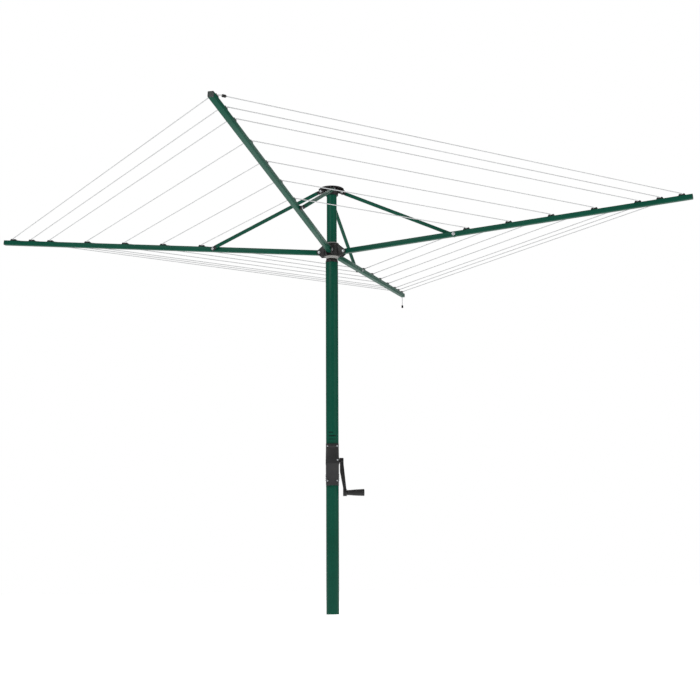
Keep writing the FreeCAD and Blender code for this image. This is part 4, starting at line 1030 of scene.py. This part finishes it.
class CLOTHESLINE_OT_winder(BuildStep):
    """Build the winder casing with its screws, oil hole and crank bush"""
    bl_idname = "clothesline.winder"
    bl_label = "Winder"
    SCREW_X = 0.0195
    SCREW_LOW = 0.018
    SCREW_HIGH = 0.010
    CORNER = 0.006

    def tuck(self, inset):
        """How far the thin side walls may follow a recess of the front face."""
        return min(inset * 0.6, 0.0012)

    def walls(self, z, half, depth, seam, corner, way, steps=5):
        """Side walls and rounded outer corners of one casing half, from seam to seam."""
        points = [(-way * half, seam, z)]
        for side in (-way, way):
            for step in range(steps + 1):
                angle = math.pi / 2 * (step / steps if side == -way else 1 - step / steps)
                points.append((side * (half - corner + corner * math.cos(angle)),
                               way * (depth - corner + corner * math.sin(angle)), z))
        return points + [(way * half, seam, z)]

    def section(self, z, half, front, seam, corner, notch):
        """Front casing outline at one height: a U that wraps the mast."""
        points = self.walls(z, half, front, seam, corner, -1)
        points.append((-notch, seam, z))
        for step in range(13):
            angle = math.pi * step / 12
            points.append((-notch * math.cos(angle), -notch * math.sin(angle) if step % 12 else 0.0, z))
        points.append((notch, seam, z))
        return points

    def back_section(self, z, half, back, seam, corner, notch):
        """Rear casing outline at one height, hollowed to the mast's round."""
        points = self.walls(z, half, back, seam, corner, 1)
        start = math.atan2(seam, math.sqrt(notch ** 2 - seam ** 2))
        for step in range(11):
            angle = start + (math.pi - 2 * start) * step / 10
            points.append((notch * math.cos(angle), notch * math.sin(angle), z))
        return points

    def execute(self, context):
        notch = MAST_HIGH.x + TUBE_PLAY
        half, front, seam = COVER_HIGH.x, -COVER_LOW.y, COVER_HIGH.y
        low, high = COVER_LOW.z, COVER_HIGH.z
        levels = [(low, 0.0040), (low + 0.0012, 0.0030), (low + 0.0030, 0.0026), (low + 0.0320, 0.0024),
                  (low + 0.0340, 0.0016), (low + 0.0840, 0.0010), (low + 0.0856, 0.0), (low + 0.0880, 0.0),
                  (high - 0.0190, 0.0026), (high - 0.0175, 0.0034), (high - 0.0150, 0.0034),
                  (high - 0.0135, 0.0024), (high - 0.0030, 0.0024), (high - 0.0012, 0.0032), (high, 0.0044)]
        cover = bmesh.new()
        add_loft(cover, [self.section(z, half - self.tuck(inset), front - inset, seam, self.CORNER, notch)
                         for z, inset in levels])
        self.trim(cover, front, low, high, half)
        make("winder_casing_front", cover, "Casing moulding", "mast", ("winder_cover",),
             edge=0.0005)
        rear = bmesh.new()
        back = BACK_HIGH.y
        add_loft(rear, [self.back_section(z, half - self.tuck(inset), back - self.tuck(inset),
                                          seam + 0.0004, self.CORNER - 0.0015, notch) for z, inset in levels])
        for z in (low + 0.03, low + 0.045, low + 0.10, low + 0.115, low + 0.13):
            add_box(rear, (-0.012, back - 0.001, z), (0.012, back + 0.0006, z + 0.004))
        make("winder_casing_back", rear, "Casing moulding", "mast", ("winder_back",),
             edge=0.0005)
        self.screws(front, low, high)
        self.crank_bush(half)
        return {"FINISHED"}

    def trim(self, cover, front, low, high, half):
        """Raised rim of the oil hole, its dark plug, screw bosses and side grips."""
        face = towards((0.0115, -front, SHAFT.z + 0.021), (0, -1, 0))
        add_lathe(cover, eased([(0.0034, -0.004), (0.0034, -0.0004), (0.0038, 0.0), (0.0046, 0.0),
                                (0.0050, -0.0006), (0.0050, -0.004)], 0.0002, 2), face, 32)
        plug = bmesh.new()
        add_lathe(plug, eased([(0, -0.004), (0.0033, -0.004), (0.0033, -0.0009), (0.0024, -0.0006),
                               (0.0012, -0.0016), (0, -0.0016)], 0.0002, 2), face, 28)
        make("oil_hole_plug", plug, "Dark nylon", "mast")
        for x, z in self.screw_places(low, high):
            boss = towards((x, -front, z), (0, -1, 0))
            add_lathe(cover, eased([(0.0022, -0.006), (0.0022, -0.0003), (0.0048, -0.0003),
                                    (0.0054, -0.0010), (0.0054, -0.006)], 0.0002, 2), boss, 32)
        for side in (-1, 1):
            for step in range(4):
                z = low + 0.020 + step * 0.007
                add_box(cover, (side * half - 0.0008, -front + 0.012, z),
                        (side * half + 0.0006, -0.002, z + 0.0025))

    def screw_places(self, low, high):
        corners = [(side * self.SCREW_X, z) for z in (high - self.SCREW_HIGH, low + self.SCREW_LOW)
                   for side in (-1, 1)]
        return corners + [(0.0207, SHAFT.z)]

    def screws(self, front, low, high):
        """Pan-head screws with a cross recess, each turned its own way."""
        screw = bmesh.new()
        head = dome(0.0033, 0.0018)
        add_lathe(screw, [(0, -0.02), (0.0018, -0.02), (0.0018, -0.0002), (0.0033, -0.0002)] + head[1:],
                  steps=24)
        for turn in (0, math.pi / 2):
            blade = Matrix.Rotation(turn, 4, "Z")
            add_box(screw, (-0.0019, -0.00035, 0.00115), (0.0019, 0.00035, 0.00183), blade)
        model = template("screw model", screw)
        places = self.screw_places(low, high)
        points = [(x, -front - 0.0001, z) for x, z in places]
        on_points("winder_screw_heads", model, points, [(0, -1, 0)] * len(points), [(1, 0, 0)] * len(points),
                  "Zinc plate", "mast", ("winder_screws",), twist=math.pi, seed=11)
        bpy.data.objects.remove(model)

    def crank_bush(self, half):
        low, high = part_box("crank_bush")
        bush = bmesh.new()
        flange = (high.z - low.z) / 2
        bore = CRANK_BORE_R
        outline = eased([(bore, low.x), (0.009, low.x), (0.009, half), (flange, half),
                         (flange, high.x - 0.0006),
                         (flange - 0.0015, high.x), (0.0068, high.x), (0.0062, high.x - 0.0007),
                         (bore, high.x - 0.0007)], 0.0003, 2)
        add_lathe(bush, outline, towards((0, 0, SHAFT.z), (1, 0, 0)), 48)
        make("crank_shaft_bush", bush, "Dark nylon", "mast", ("crank_bush",))


class CLOTHESLINE_OT_crank(BuildStep):
    """Build the leaning crank arm and the grip that turns on it"""
    bl_idname = "clothesline.crank"
    bl_label = "Crank"

    def execute(self, context):
        low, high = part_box("crank_arm")
        foot_z = GRIP_LOW.z + (GRIP_HIGH.z - GRIP_LOW.z) / 2
        thick = 0.015
        lean = high.x - low.x - thick
        x0, x1 = low.x, low.x + thick
        half = 0.0095
        arm = bmesh.new()
        outline = [(x0, SHAFT.z + 0.004), (x0, SHAFT.z - 0.042), (x0 + lean, foot_z + 0.020),
                   (x0 + lean, foot_z - 0.004), (x1 + lean, foot_z - 0.004), (x1 + lean, foot_z + 0.004),
                   (x1 + lean - 0.0022, foot_z + 0.018), (x1, SHAFT.z - 0.014), (x1, SHAFT.z + 0.004)]
        add_plate(arm, outline, -half, half)
        bmesh.ops.recalc_face_normals(arm, faces=arm.faces)
        flats = [face for face in arm.faces if abs(face.normal.y) > 0.9]
        bmesh.ops.inset_individual(arm, faces=flats, thickness=0.0032, depth=0)
        for face in flats:
            shift = face.normal * -0.0028
            for vert in face.verts:
                vert.co += shift
        shaft_way, foot_way = towards((x0, 0, SHAFT.z), (1, 0, 0)), towards((x0 + lean, 0, foot_z), (1, 0, 0))
        top_r, foot_r = (high.z - SHAFT.z), (foot_z - low.z)
        add_lathe(arm, eased([(0, 0.012), (0.005, 0.012), (0.005, 0), (top_r, 0), (top_r, thick - 0.0015),
                              (top_r - 0.0015, thick), (0.0072, thick), (0.0064, thick - 0.0012),
                              (0, thick - 0.0012)], 0.0005, 2), shaft_way, 48)
        add_lathe(arm, eased([(0, 0), (foot_r, 0), (foot_r, thick), (0.005, thick), (0.005, 0.003),
                              (0, 0.003)], 0.0008, 2), foot_way, 48)
        bolt = bmesh.new()
        add_lathe(bolt, [(0, -0.004), (0.0052, -0.004), (0.0052, 0.0)] + dome(0.0052, 0.0014)[1:],
                  towards((x1 - 0.0012, 0, SHAFT.z), (1, 0, 0)), 6)
        make("crank_moulding", arm, "Black moulding", "crank", ("crank_arm",), edge=0.0007)
        make("crank_centre_nut", bolt, "Zinc plate", "crank", edge=0.0002)
        self.grip(foot_z)
        return {"FINISHED"}

    def grip(self, z):
        """Flared grip with finger flutes and a ringed end."""
        start, end = GRIP_LOW.x, GRIP_HIGH.x
        flare = (GRIP_HIGH.z - GRIP_LOW.z) / 2
        neck = flare * 0.75
        bore = CRANK_BORE_R
        stations = [(start, neck - 0.001), (start + 0.001, neck), (start + 0.004, neck),
                    (start + 0.005, neck - 0.0006),
                    (start + 0.006, neck - 0.0006), (start + 0.007, neck)]
        for step in range(15):
            share = step / 14
            swell = math.sin(share * math.pi) * 0.0008
            stations.append((start + 0.010 + share * (end - start - 0.024),
                             neck + (flare - 0.0006 - neck) * share ** 1.4 + swell))
        stations += [(end - 0.010, flare), (end - 0.009, flare - 0.0006), (end - 0.008, flare - 0.0006),
                     (end - 0.007, flare), (end - 0.0025, flare), (end - 0.001, flare - 0.0007),
                     (end, flare - 0.0022)]
        flute_low, flute_high = start + 0.011, end - 0.015

        def fluted(angle, radius, height):
            if not flute_low < height < flute_high or radius < bore + 0.001:
                return radius
            share = (height - flute_low) / (flute_high - flute_low)
            depth = 0.0007 * min(1.0, 6 * share, 6 * (1 - share))
            return radius - depth * (0.5 + 0.5 * math.cos(angle * 12)) ** 2
        outline = [(bore, start)] + [(radius, x) for x, radius in stations]
        outline += [(flare * 0.55, end - 0.0004), (0, end - 0.0004), (0, end - 0.003), (0.0075, end - 0.003),
                    (0.0075, end - 0.0064), (bore, end - 0.0064)]
        grip = bmesh.new()
        add_lathe(grip, outline, towards((0, 0, z), (1, 0, 0)), 96, fluted)
        make("winding_grip", grip, "Grip moulding", "grip", ("crank_grip",))


class CLOTHESLINE_OT_drive_parts(BuildStep):
    """Finish the shafts, gears, screw and nut inside the mast"""
    bl_idname = "clothesline.drive_parts"
    bl_label = "Drive parts"

    def execute(self, context):
        repaint("Turned steel", "lift_screw", "support_washer", "thrust_washer")
        repaint("Drawn steel", "crank_shaft", "grip_spindle", "guide_strip")
        repaint("Gear steel", "crown_gear", "pinion")
        repaint("Dark nylon", "screw_support", "mast_foot")
        repaint("Pale nylon", "lift_nut")
        return {"FINISHED"}


class CLOTHESLINE_OT_upper_mast(BuildStep):
    """Build the rising tube and the pale sleeve that the hub sits on"""
    bl_idname = "clothesline.upper_mast"
    bl_label = "Upper mast"

    def execute(self, context):
        r = INNER_HIGH.x
        bore = r - MAST_WALL
        tube = bmesh.new()
        outline = [(bore, INNER_LOW.z), (r - 0.0003, INNER_LOW.z), (r, INNER_LOW.z + 0.0006)]
        outline += [(r, INNER_LOW.z + (INNER_HIGH.z - INNER_LOW.z) * share) for share in (0.2, 0.4, 0.6, 0.8)]
        outline += [(r, INNER_HIGH.z), (bore, INNER_HIGH.z)]
        add_lathe(tube, outline, steps=64)
        make("rising_mast_tube", tube, "Green powder coat", "head", ("inner_mast",))
        low, high = SLEEVE_LOW.z, SLEEVE_HIGH.z
        skirt, body, flange = 0.024, 0.0261, SLEEVE_HIGH.x
        outline = eased([(r, low), (skirt, low), (skirt, low + 0.0025), (skirt - 0.0007, low + 0.0032),
                         (skirt - 0.0007, low + 0.0045), (skirt, low + 0.0052), (skirt, HUB_BASE - 0.002),
                         (body, HUB_BASE), (body, HUB_TOP + 0.0003), (flange, HUB_TOP + 0.0003),
                         (flange, HUB_TOP + 0.0025), (r + 0.001, high), (r, high)], 0.0004, 2)
        sleeve = bmesh.new()
        add_lathe(sleeve, outline, steps=64)
        make("hub_seat_sleeve", sleeve, "Pale nylon", "head", ("hub_sleeve",))
        return {"FINISHED"}


class CLOTHESLINE_OT_top_cap(BuildStep):
    """Build the round top cap with its clevises and ribs"""
    bl_idname = "clothesline.top_cap"
    bl_label = "Top cap"

    def lug_sides(self):
        s = sizes()
        gap, thick = 0.0004, 0.0036
        near, far = s.strut_near - gap, s.strut_near + s.strut_tongue + gap
        return (near - thick, near), (far, far + thick)

    def execute(self, context):
        s = sizes()
        r = CAP_R
        under = CAP_PIVOT_Z + 0.010
        top = CAP_HIGH.z
        cap = bmesh.new()
        disc = [(0, under), (0.046, under), (0.0468, under - 0.0010), (r - 0.0006, under - 0.0010),
                (r, under), (r, under + 0.002), (r - 0.003, under + 0.004), (r - 0.006, under + 0.0042),
                (r - 0.0068, under + 0.0036), (r - 0.0084, under + 0.0037), (r - 0.0092, under + 0.0046),
                (r * 0.5, under + 0.0062), (r * 0.34, under + 0.0066), (r * 0.31, under + 0.0059),
                (r * 0.28, under + 0.0060), (r * 0.25, top - 0.0001), (0, top)]
        add_lathe(cap, eased(disc, 0.0005, 2), steps=96)
        boss_low = CAP_PIVOT_Z - 0.016
        boss = [(CAP_TUBE_R, boss_low), (0.0262, boss_low), (0.027, boss_low + 0.001),
                (0.027, boss_low + 0.004),
                (0.0264, boss_low + 0.0046), (0.0264, boss_low + 0.0062), (0.027, boss_low + 0.0068),
                (0.027, under - 0.002), (0.029, under + 0.0005), (CAP_TUBE_R, under + 0.0005)]
        add_lathe(cap, eased(boss, 0.0004, 2), steps=72)
        eye = EYE_R
        outline = [(0.024, under + 0.001), (0.024, CAP_PIVOT_Z - 0.001), (0.030, CAP_PIVOT_Z - 0.003)]
        outline += arc((CAP_PIVOT_RADIUS, CAP_PIVOT_Z), eye, 205, 360, 12)
        outline += [(CAP_PIVOT_RADIUS + eye, under + 0.001)]
        for arm in ARMS:
            for low, high in self.lug_sides():
                add_plate(cap, outline, low, high, about_mast(arm))
        paint = finish("Black moulding")
        add_grown(cap, "Ring of Ribs", Count=16, Radius=0.0335, Rise=under + 0.0053,
                  Rib_Size=(0.0125, 0.0016, 0.0018), Tilt=math.radians(6.3), Start=FIRST_AZIMUTH + 0.196,
                  Finish=paint)
        for start in (math.radians(-22), math.radians(-40)):
            add_grown(cap, "Ring of Ribs", Count=4, Radius=0.037, Rise=under - 0.0022,
                      Rib_Size=(0.023, 0.0018, 0.0050), Start=FIRST_AZIMUTH + start, Finish=paint)
        make("top_cap_moulding", cap, "Black moulding", "head", ("top_cap",), edge=s.edge)
        rivet_ring("cap_rivets", (0.0035, 0.006), (self.lug_sides()[0][0], self.lug_sides()[1][1]),
                   (CAP_PIVOT_RADIUS, CAP_PIVOT_Z), "head", "strut_pins", 5)
        return {"FINISHED"}


class CLOTHESLINE_OT_hub(BuildStep):
    """Build the sliding hub with its clevises and rivets"""
    bl_idname = "clothesline.hub"
    bl_label = "Hub"
    LUG_SIDES = ((-0.014, -0.0104), (0.0104, 0.014))

    def execute(self, context):
        s = sizes()
        z0, z1 = HUB_BASE, HUB_TOP
        hub = bmesh.new()
        collar = [(0.0265, z0), (0.0320, z0), (0.0330, z0 + 0.0015), (0.0330, z0 + 0.006),
                  (0.0324, z0 + 0.0068), (0.0324, z0 + 0.0086), (0.0330, z0 + 0.0094),
                  (0.0330, PIVOT_Z + 0.010), (0.0308, z1 - 0.010), (0.0316, z1 - 0.009),
                  (0.0316, z1 - 0.004), (0.0302, z1 - 0.002), (0.0295, z1), (0.0265, z1)]
        add_lathe(hub, eased(collar, 0.0006, 2), steps=96)
        end = 0.0102
        outline = [(0.0275, PIVOT_Z + 0.030), (0.0275, PIVOT_Z - 0.019), (0.046, PIVOT_Z - 0.019)]
        outline += arc((PIVOT_RADIUS, PIVOT_Z), end, -45, 45, 8)
        outline += [(0.0325, PIVOT_Z + 0.029)]
        for arm in ARMS:
            for low, high in self.LUG_SIDES:
                add_plate(hub, outline, low, high, about_mast(arm))
                outer = high if high > 0.012 else low
                way = 1 if outer > 0 else -1
                rim = towards(about_mast(arm) @ Vector((PIVOT_RADIUS, outer - way * 0.001, PIVOT_Z)),
                              about_mast(arm).to_3x3() @ Vector((0, way, 0)))
                add_lathe(hub, eased([(0.0066, 0), (0.0066, 0.0018), (0.0072, 0.0022), (0.0084, 0.0022),
                                      (0.0090, 0.0016), (0.0090, 0)], 0.0002, 2), rim, 36)
        paint = finish("Black moulding")
        for start in (33, 45, 57):
            add_grown(hub, "Ring of Ribs", Count=4, Radius=0.0329, Rise=PIVOT_Z - 0.001,
                      Rib_Size=(0.0022, 0.0020, 0.018), Start=FIRST_AZIMUTH + math.radians(start),
                      Finish=paint)
        knob_place = towards((0, 0, LATCH_HEIGHT), LATCH_WAY)
        add_lathe(hub, eased([(0.0042, 0.0275), (0.0105, 0.0275), (0.0092, 0.0335), (0.0090, 0.045),
                              (0.0066, 0.045), (0.0066, 0.031), (0.0042, 0.031)], 0.0004, 2), knob_place, 40)
        make("sliding_hub", hub, "Black moulding", "hub", ("hub",), edge=s.edge)
        rivet_ring("hub_rivets", (0.004, 0.0065), (self.LUG_SIDES[0][0], self.LUG_SIDES[1][1]),
                   (PIVOT_RADIUS, PIVOT_Z), "hub", "arm_pins", 3)
        return {"FINISHED"}


class CLOTHESLINE_OT_latch(BuildStep):
    """Build the sprung catch that holds the hub open"""
    bl_idname = "clothesline.latch"
    bl_label = "Latch"

    def execute(self, context):
        place = towards((0, 0, LATCH_HEIGHT), LATCH_WAY)
        plug = bmesh.new()
        outline = eased([(0.0041, 0.040), (0.0065, 0.040), (0.0065, 0.0451), (0.0090, 0.0451),
                         (0.0090, 0.0472), (0.0082, 0.048), (0.0058, 0.048), (0.0052, 0.0474),
                         (0.0041, 0.0474)], 0.0002, 2)
        add_lathe(plug, outline, place, 40)
        make("latch_screw_plug", plug, "Grey tip moulding", "hub", ("latch_cap",),
             edge=0.0002)
        pin = bmesh.new()
        add_lathe(pin, eased([(0, 0.0267), (0.0032, 0.0267), (0.004, 0.0276), (0.004, 0.0313),
                              (0.0062, 0.0313), (0.0062, 0.0333), (0.004, 0.0333), (0.004, 0.0575),
                              (0, 0.0575)], 0.0003, 2), place, 32)
        make("latch_bolt", pin, "Turned steel", "latch", ("latch_pin",))
        knob = bmesh.new()

        def knurled(angle, radius, height):
            if radius < 0.0100 or not 0.0532 < height < 0.0592:
                return radius
            return radius - 0.0005 * (0.5 + 0.5 * math.cos(angle * 24))
        outline = [(0, 0.0485), (0.0068, 0.0485), (0.0074, 0.0490), (0.0075, 0.0512), (0.0082, 0.0520),
                   (0.0100, 0.0526), (0.0104, 0.0532), (0.0105, 0.0540), (0.0105, 0.0565), (0.0105, 0.0590),
                   (0.0101, 0.0598), (0.0090, 0.0604), (0.0070, 0.0604), (0.0064, 0.0598), (0, 0.0598)]
        add_lathe(knob, outline, place, 96, knurled)
        make("latch_pull_knob", knob, "Black moulding", "latch", ("latch_knob",))
        spring = bmesh.new()
        add_coil(spring, 0.00497, 0.0005, 0.0340, 0.0393, 3.3, place)
        coil = make("latch_coil_spring", spring, "Drawn steel", "hub", ("latch_spring",))
        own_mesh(coil)
        return {"FINISHED"}


class CLOTHESLINE_OT_arms(BuildStep):
    """Build the four square arm tubes with their end plugs and strut bolts"""
    bl_idname = "clothesline.arms"
    bl_label = "Arms"

    def execute(self, context):
        s = sizes()
        half = s.arm_size / 2
        tube_end = s.arm_length - s.tip_cap
        for arm in ARMS:
            place = arm_place(arm)
            tube = bmesh.new()
            outside = [square_loop(half - 0.0002, s.arm_corner, -s.arm_tail),
                       square_loop(half, s.arm_corner, -s.arm_tail + 0.0003)]
            outside += [square_loop(half, s.arm_corner, tube_end * share) for share in (0.2, 0.4, 0.6, 0.8)]
            outside += [square_loop(half, s.arm_corner, tube_end - 0.0003),
                        square_loop(half - 0.0002, s.arm_corner, tube_end)]
            inside = [square_loop(half - s.wall, s.arm_corner - s.wall, x) for x in (tube_end, -s.arm_tail)]
            add_loft(tube, outside + inside, place, hollow=True)
            make(f"green_arm_{arm}", tube, "Green powder coat", f"arm_{arm}",
                 (f"arm_tube_{arm}",))
            self.plug(arm, place, half, tube_end)
            self.bolt(arm, place, half)
        return {"FINISHED"}

    def plug(self, arm, place, half, start):
        """Moulded plug: a lipped face with a shallow dish and a plain stem in the tube."""
        s = sizes()
        end = s.arm_length
        stem = half - s.wall - TUBE_PLAY
        rows = [(start - 0.014, stem - 0.0006, 0.001), (start - 0.013, stem, 0.0013), (start, stem, 0.0013),
                (start, half, s.arm_corner), (end - 0.0008, half, s.arm_corner), (end, half - 0.0008, 0.0020),
                (end, half - 0.0026, 0.0014), (end - 0.0010, half - 0.0032, 0.0011),
                (end - 0.0010, half - 0.0062, 0.0008), (end - 0.0003, half - 0.0068, 0.0008)]
        plug = bmesh.new()
        add_loft(plug, [square_loop(size, corner, x) for x, size, corner in rows], place)
        make(f"arm_end_plug_{arm}", plug, "Grey tip moulding", f"arm_{arm}",
             (f"arm_tip_{arm}",), edge=0.0002)

    def bolt(self, arm, place, half):
        s = sizes()
        bolt = bmesh.new()
        head = dome(0.006, s.bolt_head, half)
        add_lathe(bolt, [(0, -half - 0.0004), (0.0035, -half - 0.0004), (0.0035, half)] + head, steps=28)
        add_lathe(bolt, eased([(0.0062, half), (0.0074, half), (0.0074, half + 0.0006),
                               (0.0062, half + 0.0006)], 0.0001, 2), steps=28)
        model = template("strut bolt model", bolt)
        side = place.to_3x3() @ Vector((0, -1, 0))
        on_points(f"strut_bolt_head_{arm}", model, [place @ Vector((s.strut_joint, 0, 0))], [side],
                  [place.to_3x3() @ Vector((1, 0, 0))], "Zinc plate", f"arm_{arm}",
                  (f"strut_bolt_{arm}",), twist=0.4, seed=20 + arm)
        bpy.data.objects.remove(model)


def clip_places():
    """Distance of each clip from the arm's pivot, outermost first."""
    s = sizes()
    return [s.arm_length - s.clip_first - s.clip_unit * step for step in CLIP_STEPS]


class CLOTHESLINE_OT_clips(BuildStep):
    """Set seven line clips along each arm"""
    bl_idname = "clothesline.clips"
    bl_label = "Line clips"

    def model(self):
        """Long saddle that rises to a bump each side of the line's slot, with a peg below."""
        s = sizes()
        top = s.arm_size / 2
        half, side = s.clip_length / 2, s.clip_width / 2
        slot = s.line_radius + 0.00045
        floor, crest = top + s.clip_floor, top + s.clip_height
        clip = bmesh.new()
        right = [(slot, floor), (slot, floor + 0.001), (half * 0.5, crest), (half * 0.64, crest),
                 (half * 0.79, crest - 0.001), (half, top + 0.0015), (half, top)]
        outline = [(-u, w) for u, w in reversed(right)] + right
        add_plate(clip, outline, -side, side)
        add_lathe(clip, eased([(0, top - 0.0032), (0.0019, top - 0.0032), (0.0025, top - 0.0022),
                               (0.0025, top + 0.0005), (0, top + 0.0005)], 0.0003, 2), steps=16)
        bmesh.ops.recalc_face_normals(clip, faces=clip.faces)
        edges = [e for e in clip.edges if e.calc_face_angle(0) > 0.7]
        bmesh.ops.bevel(clip, geom=edges, offset=0.0004, segments=2, affect="EDGES", clamp_overlap=True)
        return template("clip model", clip)

    def execute(self, context):
        model = self.model()
        for arm in ARMS:
            place = arm_place(arm)
            turn = place.to_3x3()
            points = [place @ Vector((u, 0, 0)) for u in clip_places()]
            on_points(f"line_clip_row_{arm}", model, points, [turn @ Vector((0, 0, 1))] * 7,
                      [turn @ Vector((1, 0, 0))] * 7, "Clip moulding", f"arm_{arm}",
                      (f"line_clips_{arm}",), seed=40 + arm)
        bpy.data.objects.remove(model)
        return {"FINISHED"}


class CLOTHESLINE_OT_lines(BuildStep):
    """String the seven loops of line, and clamp the toggle on the outermost"""
    bl_idname = "clothesline.lines"
    bl_label = "Lines"

    def corner(self, u):
        """Radius and height of the line where it crosses an arm."""
        s = sizes()
        rise = s.arm_size / 2 + s.clip_floor + s.line_radius
        return (PIVOT_RADIUS + u * math.cos(s.arm_slope) - rise * math.sin(s.arm_slope),
                PIVOT_Z + u * math.sin(s.arm_slope) + rise * math.cos(s.arm_slope))

    def bend_half(self):
        """Sideways distance from the arm's middle to where the line turns."""
        s = sizes()
        return s.clip_width / 2 + s.line_bend * math.tan(math.radians(22.5)) + 0.001

    def execute(self, context):
        for arm in ARMS:
            nodes = (f"arm_lines_{arm}",)
            for number, u in enumerate(clip_places(), 1):
                self.line(arm, number, u, nodes)
        self.toggle()
        return {"FINISHED"}

    def line(self, arm, number, u, nodes):
        """One loop's run over one arm, carried on that arm's body."""
        s = sizes()
        radius, z = self.corner(u)
        bend = self.bend_half()
        middle = (radius + bend) / 2 - s.line_gap * math.sqrt(0.5)
        inward = radius + bend - middle
        turn = about_mast(arm)
        corners = ((inward, -middle, z), (radius, -bend, z), (radius, bend, z), (inward, middle, z))
        path = [turn @ Vector(point) for point in corners]
        bm = bmesh.new()
        add_grown(bm, "Line on Clips", points=path, edges=[(0, 1), (1, 2), (2, 3)], Radius=s.line_radius,
                  Bend=s.line_bend, Sides=10, Turn_Steps=6, Finish=finish("Covered line"))
        piece = make(f"line_{arm}_loop_{number}", bm, "Covered line", f"arm_{arm}", nodes,
                     crease=60.0)
        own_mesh(piece)

    def toggle(self):
        """Waisted bead that grips the outermost line."""
        way = about_mast(4).to_3x3() @ Vector((-1, 1, 0)).normalized()
        middle = (BEAD_LOW + BEAD_HIGH) / 2
        half, r, bore = 0.007, 0.005, sizes().line_radius
        outline = eased([(bore, -half), (r * 0.75, -half), (r, -half * 0.65), (r, -half * 0.2), (r * 0.86, 0),
                         (r, half * 0.2), (r, half * 0.65), (r * 0.75, half), (bore, half)], 0.0006, 2)
        bead = bmesh.new()
        add_lathe(bead, outline, towards(middle, way), 32)
        make("line_clamp_toggle", bead, "Black moulding", "arm_4", ("line_toggle",))


class CLOTHESLINE_OT_struts(BuildStep):
    """Build the four round struts with their end fittings"""
    bl_idname = "clothesline.struts"
    bl_label = "Struts"

    def execute(self, context):
        s = sizes()
        reach = strut_reach()[0]
        offset = s.strut_near + s.strut_radius
        for arm in ARMS:
            place = strut_place(arm)
            r, bore = s.strut_radius, s.strut_radius - s.wall
            start, end = s.tube_start, reach - s.tube_start
            outline = [(bore, start), (r - 0.0003, start), (r, start + 0.0004)]
            outline += [(r, start + (end - start) * share) for share in (0.25, 0.5, 0.75)]
            outline += [(r, end - 0.0004), (r - 0.0003, end), (bore, end)]
            axis = place @ towards((0, offset, 0), (1, 0, 0))
            tube = bmesh.new()
            add_lathe(tube, outline, axis, 40)
            make(f"green_strut_{arm}", tube, "Green powder coat", f"strut_{arm}",
                 (f"strut_tube_{arm}",))
            ends = bmesh.new()
            flip = Matrix.Translation((reach, 0, 0)) @ Matrix.Rotation(math.pi, 4, "Y")
            self.fitting(ends, place)
            self.fitting(ends, place @ flip)
            make(f"strut_end_fittings_{arm}", ends, "Black moulding", f"strut_{arm}",
                 (f"strut_fittings_{arm}",), edge=s.edge)
            rivet = bmesh.new()
            far = s.strut_near + s.strut_tongue
            add_lathe(rivet, [(0, s.strut_near), (0.0035, s.strut_near), (0.0035, far)]
                      + dome(0.006, s.bolt_head, far), place @ towards((reach, 0, 0), (0, 1, 0)), 28)
            make(f"strut_rivet_head_{arm}", rivet, "Zinc plate", f"strut_{arm}")
        return {"FINISHED"}

    def fitting(self, bm, place):
        """Flat eye that swells into a round collar and a plug inside the tube."""
        s = sizes()
        near, far = s.strut_near, s.strut_near + s.strut_tongue
        eye, offset = EYE_R, s.strut_near + s.strut_radius
        outline = arc((0, 0), eye, 62, 298, 16) + [(0.0095, -0.0068), (s.tube_start - 0.002, -0.0066),
                                                   (s.tube_start - 0.002, 0.0066), (0.0095, 0.0068)]
        add_plate(bm, outline, near, far, place)
        r = s.strut_radius
        stem = r - s.wall - TUBE_PLAY
        collar = [(0, 0.0105), (r - 0.0012, 0.0105), (r, 0.0135), (r, s.tube_start - 0.0004),
                  (stem, s.tube_start - 0.0004), (stem, s.tube_start + 0.0155), (0, s.tube_start + 0.016)]
        add_lathe(bm, collar, place @ towards((0, offset, 0), (1, 0, 0)), 36)


OPERATORS = (
    CLOTHESLINE_OT_stage, CLOTHESLINE_OT_hanging_end, CLOTHESLINE_OT_lower_mast, CLOTHESLINE_OT_winder,
    CLOTHESLINE_OT_crank, CLOTHESLINE_OT_drive_parts, CLOTHESLINE_OT_upper_mast, CLOTHESLINE_OT_top_cap,
    CLOTHESLINE_OT_hub, CLOTHESLINE_OT_latch, CLOTHESLINE_OT_arms, CLOTHESLINE_OT_clips,
    CLOTHESLINE_OT_lines, CLOTHESLINE_OT_struts,
)


class CLOTHESLINE_PT_build(bpy.types.Panel):
    """Lists the build steps and their settings"""
    bl_idname = "CLOTHESLINE_PT_build"
    bl_label = "Rotary Clothesline"
    bl_space_type = "VIEW_3D"
    bl_region_type = "UI"
    bl_category = "Clothesline"

    def draw(self, context):
        for name, group in SETTINGS:
            box = self.layout.box()
            box.label(text=group.__doc__)
            for key in group.__annotations__:
                box.prop(getattr(context.scene, name), key)
        for operator in OPERATORS:
            self.layout.operator(operator.bl_idname)


CLASSES = tuple(group for _, group in SETTINGS) + OPERATORS + (CLOTHESLINE_PT_build,)


def register():
    for cls in CLASSES:
        bpy.utils.register_class(cls)
    for name, group in SETTINGS:
        setattr(bpy.types.Scene, name, PointerProperty(type=group))


def unregister():
    for name, _ in SETTINGS:
        delattr(bpy.types.Scene, name)
    for cls in reversed(CLASSES):
        bpy.utils.unregister_class(cls)


def main():
    register()
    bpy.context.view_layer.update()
    for operator in OPERATORS:
        family, step = operator.bl_idname.split(".")
        getattr(getattr(bpy.ops, family), step)()


if __name__ == "__main__":
    main()
